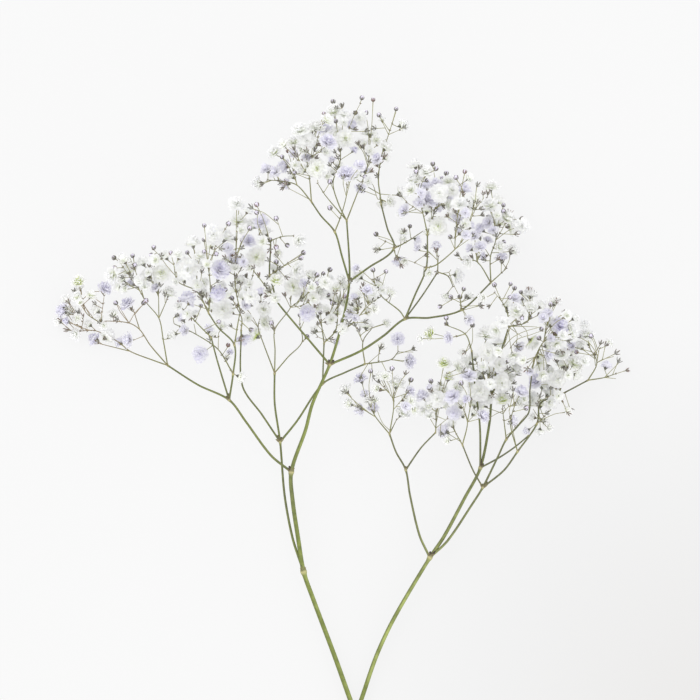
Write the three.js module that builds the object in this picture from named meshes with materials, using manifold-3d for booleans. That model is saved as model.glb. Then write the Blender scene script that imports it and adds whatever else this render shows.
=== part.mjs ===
// A cut stem of double gypsophila (baby's breath), lying on its side.
// Millimetres. +X right, +Y towards the tips, +Z up from the surface that it lies on.
// One forked woody stem carries many sprays: thin twigs with double blooms, buds and dry calyxes.

import * as THREE from 'three';
import Module from 'manifold-3d';

const wasm = await Module();
wasm.setup();

// ---------- Driving dimensions ----------

const GRID = 0.5; // one step of the drawing grid that places are written on, in mm
const GRID_CENTRE_X = 343.4; // grid place of the part's origin; grid y runs down
const GRID_CENTRE_Y = 446.3;
const SEED = 20;

const GAP = 0.35; // clear space kept between neighbouring nodes
const SLEEVE = 0.75; // growth of a stem's radius that leaves GAP beside its flat sides
const STEM_SIDES = 5;
const BRANCH_SIDES = 3;
const TWIG_SIDES = 3;
const SWELL = 1.3; // how much wider a stem is at a knuckle where it forks
const TWIG_RADIUS = 0.6;
const STALK_RADIUS = 0.42; // of a flower's own stalk
const STALK_ROOT_RADIUS = 0.25; // slim enough to start inside the twig
const NECK_RADIUS = 0.62; // where the stalk meets the flower
const ROOT_SLEEVE = 1.3; // radius kept clear round the root of an earlier spray on the same knuckle
const THICK_AXIS = 0.72; // axes that start thicker than this have STEM_SIDES
const BRACT_LENGTH = 4.6;
const BRACT_RISE = 2.4; // height of a bract's tip above its knuckle
const BRACT_RADII = [0.9, 0.62, 0.1]; // at its base, middle and tip

const PETALS_LARGE = 5; // petals in one layer of a large bloom
const PETALS_SMALL = 4;
const LARGE_BLOOM = 7.4; // blooms this wide or more get a third layer of petals
// Petal layers from the outside in, in radii of the bloom: tips and notches, and their lifts.
const PETAL_LAYERS = [
  { tip: 1, notch: 0.6, tipLift: -0.02, notchLift: 0 },
  { tip: 0.78, notch: 0.4, tipLift: 0.42, notchLift: 0.36 },
];
const CROWN_WIDTH = 0.4; // of the third layer, in radii, and its lift
const CROWN_LIFT = 0.68;
const HEART_LIFT = 0.5; // of the hollow in the middle of a bloom, in radii
const BUDS_PER_SPRAY = 2; // the most buds that one spray keeps
const BUD_RADIUS = 1.25;
const CALYX_RADIUS = 1.2;
const ROOT_FREE = 3.4; // length at a spray's root that may lie close to what it grows from
const STALK_FREE = 1.8; // the same at a flower stalk's root
const SITE_STEP = 1.8; // spacing of the places where flower stalks leave a twig
const TURN_COST = 0.7; // how much a stalk that turns back costs, as a part of its reach
const TAKEN_COST = 4; // reach that a flower gives up to leave the twig at a place of its own
const FACING = [0.05, 0.45]; // how far a flower looks up where its place doesn't say
const FRONT_FACING = 0.8; // a flower that looks up this far lies in front: nothing covers its heart
const FRONT_LIFT = 5; // height of such a flower over the place where its stalk starts
const OPEN_HEART = 0.55; // width of its uncovered middle, as a part of its own
const OPEN_HEIGHT = 60; // how far above it that is kept free
const SCATTER = 3.5; // flowers of a spray lie this much higher or lower than it rises
const LEAN = 0.35; // how much a flower leans along its twig
const LONG_STALK = 11; // stalks that reach further than this are bowed
const BOW = 0.12; // of a long stalk, as a part of its reach
const BLOOM_FOOT = 0.85; // distance from a bloom's foot to its centre, in radii
const SMALL_FOOT = 0.9; // the same for a bud or calyx
const HEAD_ROOM = 1.02; // room that a flower takes, in radii
const OWN_GAP = 0.1; // clear space wanted between flowers of one spray
const TRIAL_ROOM = 0.1; // room wanted on top of GAP in the search for a clear place
const TRIAL_STEP = 1.5; // height step of that search
const TRIAL_STEPS = 22; // such steps up and down
const TWIG_ARCH = 1.2; // how far a twig arches above its straight course
const LOWEST_TWIG = 1.2; // least height of a twig's middle line
const LOWEST_STALK = 0.92; // the same for a flower's stalk
const LOWEST_BLOOM = 0.62; // centre height of a bloom that lies on the surface, in radii
const LOWEST_FACING = -0.25; // least upward part of the direction that a flower faces
const TALLEST = 72; // greatest height of a bloom's centre
const SURFACE_REACH = 400; // half width of the surface that the part lies on, and its depth
const SURFACE_DEPTH = 40;
const STRAIGHT = 1e-9; // squared lengths below this count as nothing

// ---------- Places ----------

// Knuckles of the stem: grid x, grid y, height in mm. l is the left half, r the right half.
const KNUCKLES = {
  'cut': [362, 796, 1.0], 'fork': [356, 716, 3.0],
  'l1': [303.5, 572, 9], 'l2': [291.2, 472, 16], 'l3': [280, 442, 11], 'l4': [229, 400, 19],
  'l5': [329.7, 364.5, 29], 'l6': [274.5, 373, 19], 'l7': [324, 343, 18], 'l8': [365, 364, 22],
  'l9': [167.3, 365.4, 15], 'l10': [211, 337, 26], 'l11': [234.4, 345, 29],
  'l12': [349.4, 281.5, 38], 'l13': [346.7, 220.6, 33], 'l14': [334.8, 232, 42],
  'l15': [311.5, 202, 40], 'l18': [393.7, 248.7, 29], 'l19': [426.2, 268, 37],
  'l22': [405, 319, 31], 'l23': [437.7, 272, 25], 'l25': [461.4, 310, 26],
  'l26': [491, 282.5, 21], 'l33': [322.5, 384, 17], 'l42': [208.5, 313, 33],
  'l48': [276.7, 300.6, 39], 'l49': [270.6, 249.6, 36], 'l50': [269.6, 275.7, 37.5],
  'l52': [381, 204, 27], 'l54': [427.4, 234.2, 40], 'l55': [241, 330, 21],
  'l56': [233, 374, 24], 'l57': [340, 331, 33],
  'r1': [430, 558, 10], 'r2': [405.8, 470, 17], 'r3': [480.6, 468, 12], 'r4': [483, 487.5, 17],
  'r5': [389.5, 434, 19], 'r6': [435.7, 432.5, 23], 'r7': [462.5, 445, 26],
  'r8': [506.4, 439.5, 22], 'r9': [517.6, 451.7, 25], 'r10': [537, 424, 22],
  'r11': [492, 395, 19], 'r12': [471.7, 350.5, 29], 'r13': [508.8, 326.5, 27],
  'r14': [533.8, 360.4, 28], 'r15': [558.3, 396, 15], 'r16': [588.5, 380.3, 11],
  'r17': [529, 435.5, 23.2],
};

// Axes of the stem: first radius, last radius, then the knuckles and the grid places on the way.
const AXES = [
  [1.3, 0.5, ['cut', [360, 756], 'fork', [350, 700], [335, 658], [312.5, 598], 'l1', [298, 538.5],
    [292.5, 500.5], 'l2', [305.5, 430], [312.5, 403.6], 'l5', 'l57', [347, 300.6], 'l12',
    [349.4, 262], 'l13']],
  [0.8, 0.5, ['l1', [292.5, 538.5], [284.4, 495], 'l3', [274.6, 403.6], 'l6']],
  [0.8, 0.5, ['l2', [270.8, 455.5], [245.5, 421.4], 'l4', [198, 385], 'l9']],
  [0.6, 0.5, ['l3', [262, 415], [242.2, 385.5], 'l55']],
  [0.65, 0.5, ['l3', [297, 421], 'l33', [345, 372.5], 'l8']],
  [0.5, 0.5, ['l33', 'l7']],
  [0.55, 0.5, ['l4', [217, 360], 'l10']],
  [0.55, 0.5, ['l4', 'l56', 'l11', [218.1, 327.5], 'l42']],
  [0.6, 0.5, ['l5', [306.6, 337.3], [286, 313], 'l48', [272.9, 286.8], 'l50', 'l49']],
  [0.7, 0.5, ['l5', [360.6, 351], [383.6, 335.8], 'l22', [430, 317.7], 'l25', 'l26']],
  [0.55, 0.5, ['l12', [342, 256.5], 'l14', [321, 216], 'l15']],
  [0.55, 0.5, ['l12', [368, 268], 'l18', [387.5, 229], 'l52']],
  [0.55, 0.5, ['l22', [415, 295], 'l19', 'l54']],
  [0.5, 0.5, ['l22', [422, 296], 'l23']],
  [1.15, 0.5, ['fork', [361.5, 700], [376.8, 655.8], [394.6, 618], 'r1', [444, 537.2],
    [465, 498], 'r3', [489.7, 422.7], 'r11', [499, 360], 'r13']],
  [0.75, 0.5, ['r1', [419.5, 535.3], [410, 495], 'r2', [396, 452], 'r5']],
  [0.75, 0.5, ['r1', [447.8, 541], [472, 505], 'r4', [498, 457], 'r8', [518, 426], [529, 412],
    [530, 390], 'r14']],
  [0.55, 0.5, ['r2', [421, 448], 'r6']],
  [0.5, 0.5, ['r4', [472.9, 470], 'r7']],
  [0.5, 0.5, ['r4', [504, 470.5], 'r9', 'r10', [541, 403], 'r15', 'r16']],
  [0.6, 0.5, ['r3', [480, 426], [475, 385], 'r12']],
  [0.55, 0.5, ['r3', [499, 458], [514.5, 447.5], 'r17']],
];

// Knuckles that carry a pair of bracts, with the bracts' two compass headings in degrees.
const BRACTS = [
  ['l1', [65, 135]], ['l2', [50, 150]], ['l3', [40, 150]], ['l5', [10, 160]],
  ['r1', [105, 40]], ['r4', [125, 25]],
];

// Sprays: name, knuckle, rise (height gained for each mm of reach),
// twigs as lists of grid places, each starting at the knuckle or on an earlier twig,
// and flowers as [kind, grid x, grid y, width on the grid, facing].
// Kinds: W white bloom, L lilac bloom, B bud, C dry calyx. Facing: 1 looks straight up, 0 sideways.
const SPRAYS = [
  ['far_left_low', 'l9', -0.2,
    [[[167.3, 365.4], [152, 360], [130, 351.4], [116.5, 341], [95, 330.7], [80, 331]],
      [[130, 351.4], [98.2, 343.4]]],
    [['W', 107, 335.7, 16], ['L', 93.6, 338.5, 13], ['W', 74.4, 334, 12], ['W', 69, 311, 12],
      ['L', 61.4, 310.5, 14], ['L', 66, 321, 9]]],
  ['far_left_mid', 'l9', 0.12,
    [[[167.3, 365.4], [150, 345.2], [139.5, 329.6], [128.8, 323], [106, 321], [99.7, 322.7]],
      [[99.7, 322.7], [86, 312.8], [82, 299.7]], [[139.5, 329.6], [133.4, 310.5]]],
    [['L', 128, 340, 13], ['L', 127, 303.6, 13], ['B', 115.4, 302.8], ['B', 143.3, 302.8],
      ['W', 112.7, 314, 12], ['L', 105, 288, 13], ['W', 78, 281.4, 13], ['W', 77, 296.7, 12],
      ['W', 91, 295, 12], ['C', 74.4, 290.7]]],
  ['left_thin', 'l9', 0.3,
    [[[167.3, 365.4], [163, 339.7], [158.8, 318.3], [145.7, 301.8], [138, 287]],
      [[158.8, 318.3], [158.4, 290]], [[158.8, 318.3], [166.8, 300]]],
    [['W', 169, 292.6, 13], ['W', 161.4, 272.8, 18, 0.85], ['L', 154.8, 288, 10],
      ['L', 131, 283, 10], ['W', 122, 279, 11], ['W', 124, 260, 12], ['B', 146, 300.5],
      ['B', 132.6, 255.7], ['B', 114, 257.7], ['B', 114.6, 267.6], ['B', 135, 265]]],
  ['left_bare', 'l10', -0.1,
    [[[211, 337], [203.5, 330], [184.4, 310.3], [176, 305]]],
    [['L', 187.4, 298, 16, 0.1], ['L', 209, 329, 11], ['B', 200.8, 305.7], ['B', 218.8, 321.7]]],
  ['left_upper', 'l42', 0.15,
    [[[208.5, 313], [197, 291.5], [178, 281.5], [174, 265]], [[197, 291.5], [197, 262]]],
    [['W', 188, 269, 20, 0.9], ['W', 165, 256, 13], ['W', 192.8, 243, 15], ['B', 171, 253],
      ['C', 179, 259.7], ['B', 187.4, 252.5], ['B', 154, 247.5], ['B', 151.5, 255]]],
  ['left_crown', 'l42', 0.5,
    [[[208.5, 313], [210.6, 290], [208.1, 262]]],
    [['L', 220.4, 269.7, 18], ['W', 214, 234.5, 20, 0.9], ['W', 225.7, 236.8, 16],
      ['B', 204.7, 225.7], ['B', 204.3, 239.8], ['B', 204.7, 251.7], ['B', 216.5, 254],
      ['B', 228.8, 224], ['L', 218, 293.4, 14, 0.8], ['B', 225.3, 289.6]]],
  ['left_inner', 'l11', 0.2,
    [[[234.4, 345], [240.3, 312.2], [248.7, 290], [252.5, 276.6]],
      [[240.3, 312.2], [234.9, 282.7], [236, 250]]],
    [['W', 257, 257, 18, 1], ['L', 238, 262, 14], ['L', 228, 248, 12], ['L', 249, 241, 13],
      ['L', 246.4, 305, 12], ['B', 242, 240], ['B', 250, 228.4], ['W', 238.4, 220.6, 15],
      ['W', 237, 203.7, 14], ['W', 251, 296.5, 14]]],
  ['left_low', 'l56', -0.5,
    [[[233, 374], [218, 349.5], [195.9, 334.4], [173.7, 323.7]]],
    [['L', 199.7, 354.3, 15, 1], ['C', 172.9, 334.4], ['L', 182, 318, 11], ['B', 228, 345],
      ['W', 240.5, 377, 12]]],
  ['left_middle', 'l55', -0.15,
    [[[241, 330], [241.8, 319], [237, 307.6]]],
    [['W', 222.7, 309.5, 18, 0.9], ['L', 242.5, 339, 14], ['B', 231.8, 298], ['B', 251, 329.8]]],
  ['inner_low', 'l6', -0.3,
    [[[274.5, 373], [262, 340], [258, 327], [262, 312]]],
    [['W', 255, 335, 14], ['L', 260.6, 291.7, 11], ['B', 245.5, 307]]],
  ['inner_bright', 'l6', 0.3,
    [[[274.5, 373], [275, 350], [274.8, 329.7], [290.5, 307.5], [290, 299]],
      [[290.5, 307.5], [303.5, 297.6], [311, 290]]],
    [['B', 271.4, 323], ['L', 307.3, 313, 15, 1], ['W', 293.6, 287, 17, 0.9], ['W', 296.6, 274.6, 13],
      ['W', 320.4, 291.4, 15], ['W', 325.7, 282.5, 13], ['L', 305, 283.8, 12],
      ['B', 301, 293.7], ['B', 317, 275], ['B', 328, 295], ['B', 330, 269.5]]],
  ['inner_short', 'l6', -0.15,
    [[[274.5, 373], [288, 357], [302, 342], [299.7, 325]]],
    [['B', 299.7, 315], ['B', 307, 336.6]]],
  ['crown_left', 'l48', 0.25,
    [[[276.7, 300.6], [254.5, 272], [243, 258.8]]],
    [['W', 276, 280, 13], ['C', 236, 256]]],
  ['crown_small', 'l50', 0.3,
    [[[269.6, 275.7], [287.4, 263.4]]],
    [['W', 297.3, 270.3, 14], ['B', 303.5, 252.7], ['B', 301, 258], ['B', 276.3, 262]]],
  ['crown_top', 'l49', 0.4,
    [[[270.6, 249.6], [270, 241], [259.8, 235]], [[270, 241], [282.8, 236.6], [293, 236]]],
    [['L', 261.4, 222, 13], ['W', 266, 232, 12], ['W', 299.6, 241, 13], ['B', 257, 213],
      ['B', 257, 205], ['B', 276.3, 218.6], ['B', 287.4, 245.4]]],
  ['middle_low', 'l7', -0.35,
    [[[324, 343], [321, 320.5]]],
    [['W', 314.2, 330, 10], ['B', 320.4, 312], ['B', 307, 300]]],
  ['middle_zigzag', 'l7', 0.5,
    [[[324, 343], [335.7, 330], [338, 305]]],
    [['W', 331, 319, 11], ['B', 332.6, 303], ['B', 344.8, 296]]],
  ['middle_up', 'l57', 0.65,
    [[[340, 331], [353, 322.8], [358.3, 310], [356, 300]], [[353, 322.8], [369, 305]]],
    [['L', 355, 318, 9], ['L', 354, 297, 11], ['L', 367, 290, 12], ['W', 375, 309, 10]]],
  ['middle_right', 'l8', -0.2,
    [[[365, 364], [362.9, 342], [372, 328]]],
    [['W', 386.6, 322.8, 10], ['C', 355, 325]]],
  ['lower_right', 'l8', -0.6,
    [[[365, 364], [391.2, 359.5], [398, 352]]],
    [['W', 381.3, 346, 10], ['L', 398, 339, 13, 1], ['C', 413.4, 349], ['L', 409.6, 361, 13]]],
  ['top_left', 'l15', -0.3,
    [[[311.5, 202], [297, 185.3], [282.9, 181.4], [268, 180]], [[297, 185.3], [292, 165]]],
    [['L', 266, 169, 12], ['W', 257.6, 183, 13], ['L', 284.4, 166, 13], ['W', 274, 152, 13],
      ['B', 288, 151], ['W', 293.6, 141.6, 14], ['L', 293.6, 154, 11], ['C', 283, 188]]],
  ['top_high', 'l15', 0.25,
    [[[311.5, 202], [309.3, 176], [306, 155]]],
    [['L', 307, 157.7, 11], ['W', 307, 141, 16, 0.85], ['W', 300, 130, 16], ['L', 328, 142.4, 15],
      ['W', 316.5, 127, 15], ['B', 324, 114], ['B', 295, 173]]],
  ['top_face', 'l13', 0.6,
    [[[346.7, 220.6], [325.7, 196], [318, 184]]],
    [['W', 317, 169, 18, 1], ['B', 330, 182]]],
  ['top_middle', 'l13', -0.1,
    [[[346.7, 220.6], [338.7, 204.4], [333, 183], [340.3, 160], [339, 136]]],
    [['W', 345, 138.5, 17, 0.9], ['L', 354, 150, 9], ['L', 351, 125.6, 14], ['W', 333.4, 111, 14],
      ['W', 359, 117, 16, 0.85], ['B', 335.7, 121], ['B', 333, 101], ['B', 362, 97.6],
      ['L', 324, 128.6, 13]]],
  ['top_near', 'l14', 0.5,
    [[[334.8, 232], [341, 216], [346.3, 196.8], [347, 186]]],
    [['L', 346.5, 174, 16], ['L', 360, 166, 12], ['B', 330, 208]]],
  ['top_rest', 'l13', -0.74,
    [[[346.7, 220.6], [357, 194], [367, 168], [370, 150]]],
    [['L', 360, 188, 12], ['W', 361, 144, 13], ['W', 370, 131, 15], ['B', 366, 112],
      ['B', 373.3, 99]]],
  ['top_right', 'l52', -0.1,
    [[[381, 204], [380, 194], [378.4, 180.6], [380.6, 160], [387.4, 138], [392, 124]],
      [[380, 194], [368, 187]]],
    [['L', 376.7, 158.5, 12], ['W', 386, 147, 14], ['W', 403, 125, 13], ['B', 396.2, 108.7],
      ['B', 379, 114.8], ['W', 391, 201, 12], ['W', 401.4, 193, 13], ['B', 365, 177]]],
  ['right_low', 'l18', -0.5,
    [[[393.7, 248.7], [408, 241], [423, 231]]],
    [['W', 403, 232, 10], ['B', 376, 234], ['W', 377, 249, 11], ['L', 399, 261, 13],
      ['B', 410, 226]]],
  ['right_peak', 'l54', 0.35,
    [[[427.4, 234.2], [422.8, 213.5], [417, 192]]],
    [['L', 404.4, 210.5, 12], ['W', 414, 180, 15], ['W', 415, 165, 13], ['L', 428, 200, 16],
      ['W', 426, 172, 13]]],
  ['right_peak_low', 'l54', -0.25,
    [[[427.4, 234.2], [432.8, 216.6], [436, 205]]],
    [['W', 439, 193.6, 17, 0.85], ['W', 438, 226.5, 18, 1], ['B', 432.8, 163.8], ['B', 446.5, 173],
      ['W', 449, 216, 9], ['L', 449.6, 199, 9], ['B', 442, 178], ['L', 426, 186, 14]]],
  ['right_upper', 'l19', 0.3,
    [[[426.2, 268], [436.6, 264.8], [454.8, 249.5], [466, 236]], [[454.8, 249.5], [455, 231]]],
    [['L', 458, 220, 15], ['L', 471, 226, 10], ['B', 450, 237], ['W', 459.5, 203.6, 14],
      ['L', 463.4, 189, 14, 0], ['W', 475, 199, 12], ['B', 464.5, 172], ['B', 455.7, 178],
      ['C', 477, 186]]],
  ['right_short', 'l23', 0.4,
    [[[437.7, 272], [438.2, 257]]],
    [['L', 436.6, 246, 12], ['L', 417.4, 248, 9]]],
  ['right_bluish', 'l23', -0.5,
    [[[437.7, 272], [448, 276], [453, 286]]],
    [['W', 458, 275, 13], ['W', 447, 297, 12]]],
  ['right_far', 'l26', 0.1,
    [[[491, 282.5], [490.5, 257], [495.9, 240], [496, 226]]],
    [['W', 507.4, 217, 15], ['W', 522, 226, 16, 0.85], ['L', 481, 228.8, 13], ['W', 490, 205, 15],
      ['W', 491, 186, 14], ['B', 503.6, 205], ['B', 504, 241.8]]],
  ['right_far_low', 'l26', -0.45,
    [[[491, 282.5], [506.5, 268.4]]],
    [['L', 502, 257, 13], ['W', 513, 250, 13]]],
  ['right_near', 'l26', 0.6,
    [[[491, 282.5], [476.7, 261.5], [462, 260]]],
    [['L', 480, 247, 12], ['C', 457.7, 255], ['L', 474, 236, 11]]],
  ['right_buds', 'l25', 0.25,
    [[[461.4, 310], [460, 299]]],
    [['B', 463.7, 289], ['B', 450.7, 297], ['C', 479.7, 305], ['L', 470, 320, 11]]],
  ['middle_long', 'l22', 0.5,
    [[[405, 319], [399.6, 311], [381.3, 296], [373, 280]]],
    [['W', 390, 292, 12], ['B', 385.9, 271.5], ['B', 373, 270]]],
  ['centre_right', 'r12', 0.05,
    [[[471.7, 350.5], [465.2, 334], [446, 325]], [[465.2, 334], [450, 338]]],
    [['W', 429.5, 333.5, 13], ['W', 420, 339, 9], ['L', 448.4, 338, 11], ['B', 446.2, 318],
      ['B', 472.5, 325]]],
  ['low_left', 'r5', -0.35,
    [[[389.5, 434], [375.9, 417.3], [368, 402]], [[375.9, 417.3], [358, 406]]],
    [['L', 360.6, 379, 13], ['L', 359.8, 409.7, 12], ['L', 365, 394, 11], ['L', 374, 409, 12],
      ['W', 345, 390, 13], ['W', 348.4, 403.6, 12], ['B', 370.6, 371]]],
  ['low_right', 'r5', 0.35,
    [[[389.5, 434], [393.5, 409.7], [394, 394]]],
    [['W', 396.6, 383.7, 15], ['L', 410, 391, 11], ['W', 385, 376, 11], ['B', 392, 368.4],
      ['C', 405.4, 373.8]]],
  ['low_short', 'r5', 0.1,
    [[[389.5, 434], [396.5, 420]]],
    [['W', 402.7, 412.8, 14, 0.1]]],
  ['low_centre', 'r6', 0.3,
    [[[435.7, 432.5], [436.5, 412]]],
    [['W', 437, 399, 17, 0.85], ['L', 422.6, 396, 13], ['B', 431, 381], ['W', 444, 362.6, 13],
      ['W', 448.4, 377, 12]]],
  ['low_lilac', 'r7', -0.15,
    [[[462.5, 445], [453, 428]]],
    [['L', 453.7, 413, 14, 1], ['L', 444, 431, 13]]],
  ['low_tall', 'r7', 0.3,
    [[[462.5, 445], [467.5, 422], [463, 408]], [[467.5, 422], [471.3, 400.5]]],
    [['L', 452, 396, 14], ['L', 466, 399, 9], ['L', 468.3, 375.3, 13], ['B', 461, 383],
      ['L', 483, 416, 13]]],
  ['cluster_left', 'r11', 0.35,
    [[[492, 395], [487, 384], [480, 366]]],
    [['W', 479.7, 391, 18, 0.9], ['W', 488.2, 352, 18, 0.9], ['W', 486, 334, 16], ['B', 497, 372]]],
  ['cluster_low', 'r11', -0.45,
    [[[492, 395], [501, 370]]],
    [['W', 502, 383, 18, 0.9], ['W', 499, 344, 13], ['B', 508, 361.5]]],
  ['cluster_side', 'r8', 0.1,
    [[[506.4, 439.5], [502.7, 410]]],
    [['W', 502.7, 399, 13], ['W', 484, 404, 14], ['B', 512, 417]]],
  ['cluster_right', 'r9', 0.35,
    [[[517.6, 451.7], [510.4, 423.5], [515, 404]]],
    [['L', 521, 391.3, 14], ['L', 513.5, 421, 11], ['B', 526, 408]]],
  ['edge_low', 'r10', -0.4,
    [[[537, 424], [544, 417]]],
    [['W', 541, 404, 11], ['W', 550, 428, 9], ['C', 553, 408], ['W', 568, 411, 10],
      ['L', 527, 431, 10]]],
  ['edge_upper', 'r15', 0.4,
    [[[558.3, 396], [566, 375]]],
    [['W', 558, 379, 18, 0.85], ['W', 575, 362.7, 16], ['L', 536, 381, 15]]],
  ['rise_left', 'r13', 0.35,
    [[[508.8, 326.5], [507.3, 312.8], [500, 298]]],
    [['B', 494.3, 284.8], ['L', 515, 298, 12], ['B', 510.4, 284], ['W', 516.5, 311, 15]]],
  ['rise_right', 'r13', -0.2,
    [[[508.8, 326.5], [527, 322], [533, 309]]],
    [['W', 530, 294, 13], ['W', 532.6, 342, 14], ['L', 519, 347, 12], ['B', 521, 292],
      ['W', 542, 305, 12]]],
  ['peak_right', 'r14', 0.15,
    [[[533.8, 360.4], [543.5, 342], [556, 336]], [[543.5, 342], [548, 322]]],
    [['L', 560, 326, 15], ['L', 548, 355, 12], ['W', 555, 301, 13], ['L', 547, 313, 12],
      ['C', 563.6, 313], ['L', 530, 372, 10]]],
  ['far_right_up', 'r16', 0.35,
    [[[588.5, 380.3], [597.3, 362.7], [590, 348]]],
    [['W', 586.6, 334.3, 14], ['L', 572, 345.8, 10], ['C', 601, 343], ['C', 616.4, 353]]],
  ['far_right', 'r16', -0.6,
    [[[588.5, 380.3], [605, 377.6], [616, 374]]],
    [['C', 627.9, 370.3], ['L', 607, 365.5, 12], ['C', 619.5, 361]]],
];

// ---------- Seeded draws ----------

// A small seeded generator (mulberry32), so that every build draws the same plant.
function seeded(seed) {
  let state = seed >>> 0;
  return (low, high) => {
    state = (state + 0x6d2b79f5) >>> 0;
    let t = Math.imul(state ^ (state >>> 15), state | 1) >>> 0;
    t = (t ^ (t + Math.imul(t ^ (t >>> 7), t | 61))) >>> 0;
    return low + ((high - low) * ((t ^ (t >>> 14)) >>> 0)) / 4294967296;
  };
}

// ---------- Layout ----------

const ORIGIN = new THREE.Vector3();

function onGrid(gridX, gridY, height) {
  return new THREE.Vector3((gridX - GRID_CENTRE_X) * GRID, (GRID_CENTRE_Y - gridY) * GRID, height);
}

function knuckle(name) {
  return onGrid(...KNUCKLES[name]);
}

function flatReach(points) {
  const reach = [0];
  for (let i = 1; i < points.length; i += 1) {
    reach.push(reach[i - 1] + Math.hypot(points[i].x - points[i - 1].x, points[i].y - points[i - 1].y));
  }
  return reach;
}

// Points of an axis. Between two knuckles its height changes evenly with its length.
function axisPoints(places) {
  const isKnuckle = places.map((place) => typeof place === 'string');
  const points = places.map((place, i) => (isKnuckle[i] ? knuckle(place) : onGrid(...place, 0)));
  const reach = flatReach(points);
  let before = 0;
  for (let i = 1; i < points.length; i += 1) {
    if (isKnuckle[i]) {
      for (let k = before + 1; k < i; k += 1) {
        const part = (reach[k] - reach[before]) / (reach[i] - reach[before]);
        points[k].z = points[before].z + (points[i].z - points[before].z) * part;
      }
      before = i;
    }
  }
  return points;
}

function axisRadii([first, last, places], points) {
  const reach = flatReach(points);
  const whole = reach[reach.length - 1];
  return points.map((p, i) => {
    const plain = first + ((last - first) * reach[i]) / whole;
    return typeof places[i] === 'string' && places[i] !== 'cut' ? plain * SWELL : plain;
  });
}

// Shortest distance between two straight pieces a-b and c-d.
function distanceBetween(a, b, c, d) {
  const u = b.clone().sub(a);
  const v = d.clone().sub(c);
  const w = a.clone().sub(c);
  const uu = u.dot(u);
  const vv = v.dot(v);
  const uv = u.dot(v);
  const uw = u.dot(w);
  const vw = v.dot(w);
  const clamp = (value) => Math.min(1, Math.max(0, value));
  const spread = uu * vv - uv * uv;
  let s = spread > STRAIGHT ? clamp((uv * vw - vv * uw) / spread) : 0;
  const t = vv > STRAIGHT ? clamp((uv * s + vw) / vv) : 0;
  s = uu > STRAIGHT ? clamp((uv * t - uw) / uu) : 0;
  return w.add(u.multiplyScalar(s)).sub(v.multiplyScalar(t)).length();
}

// Everything placed so far, as round-ended rods: owner, ends, radius, whether it is a twig, and
// whether it is only the free space over a flower in front.
const placed = [];

// Own twigs are never in the way. With leniency 1 own flowers aren't either, and with 2 the free
// space over the flowers in front isn't.
function isClear(rods, leniency) {
  return rods.every((rod) =>
    placed.every((other) => {
      const isOwn = other.owner === rod.owner;
      if (isOwn && (leniency > 0 || other.isTwig || rod.isTwig)) {
        return true;
      }
      if (leniency > 1 && (other.isSpace || rod.isSpace)) {
        return true;
      }
      const room = rod.radius + other.radius + (isOwn ? OWN_GAP : GAP + TRIAL_ROOM);
      return distanceBetween(rod.a, rod.b, other.a, other.b) >= room;
    }));
}

function chain(owner, points, radius, isTwig) {
  return points.slice(1).map((p, i) => ({ owner, a: points[i], b: p, radius, isTwig }));
}

// Heights to try, from the wanted one outwards.
const OFFSETS = [0];
for (let step = 1; step <= TRIAL_STEPS; step += 1) {
  OFFSETS.push(step * TRIAL_STEP, -step * TRIAL_STEP);
}

// The first height offset whose shape clears the rest.
function settle(owner, shapeAt) {
  for (const leniency of [0, 1, 2]) {
    for (const offset of OFFSETS) {
      const trial = shapeAt(offset);
      if (trial && isClear(trial.rods, leniency)) {
        return trial;
      }
    }
  }
  throw new Error(`no clear place in ${owner}`);
}

// The same path without its first stretch, which may lie close to what it grows from.
function withoutRoot(points, free) {
  const step = points[1].clone().sub(points[0]);
  const start = points[0].clone().addScaledVector(step, Math.min(0.9, free / step.length()));
  return [start, ...points.slice(1)];
}

// A twig from a known point: its height changes by the spray's rise, and it arches a little.
function layTwig(owner, places, root, rise, isFirst) {
  const flat = places.map(([x, y]) => onGrid(x, y, 0));
  const reach = flatReach(flat);
  const whole = reach[reach.length - 1];
  return settle(owner, (offset) => {
    const points = flat.map((p, i) => {
      const part = reach[i] / whole;
      const arch = TWIG_ARCH * Math.sin(Math.PI * part);
      const height = root.z + rise * reach[i] + offset * part + arch;
      return new THREE.Vector3(p.x, p.y, Math.max(LOWEST_TWIG, height));
    });
    points[0] = root.clone();
    if (points[points.length - 1].z > TALLEST) {
      return null;
    }
    const free = isFirst ? withoutRoot(points, ROOT_FREE) : points;
    return { points, rods: chain(owner, free, TWIG_RADIUS, true) };
  }).points;
}

// Places along a spray's twigs that a flower may grow from. The last one of a twig is its tip.
function rootSites(twigs) {
  return twigs.flatMap((points, twig) => {
    const sites = [];
    for (let i = 1; i < points.length; i += 1) {
      const run = points[i].clone().sub(points[i - 1]);
      const heading = run.clone().setZ(0).normalize();
      const steps = Math.max(1, Math.floor(run.length() / SITE_STEP));
      for (let k = 1; k <= steps; k += 1) {
        const point = points[i - 1].clone().addScaledVector(run, k / steps);
        const isTip = i === points.length - 1 && k === steps;
        sites.push({ point, heading, twig, isTip, taken: 0 });
      }
    }
    return sites;
  });
}

// Where a flower's stalk leaves the spray: near the flower, and heading towards it.
function pickRoot(sites, flat) {
  let best = null;
  sites.filter((site) => !(site.isTip && site.taken > 0)).forEach((site) => {
    const away = flat.clone().sub(site.point).setZ(0);
    const reach = Math.max(away.length(), 0.01);
    const turn = away.dot(site.heading) / reach;
    const turning = 1 + TURN_COST - TURN_COST * turn;
    const cost = reach * turning + (site.isTip ? 0 : 1) + TAKEN_COST * site.taken;
    if (!best || cost < best.cost) {
      best = { cost, site };
    }
  });
  best.site.taken += 1;
  return best.site;
}

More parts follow.
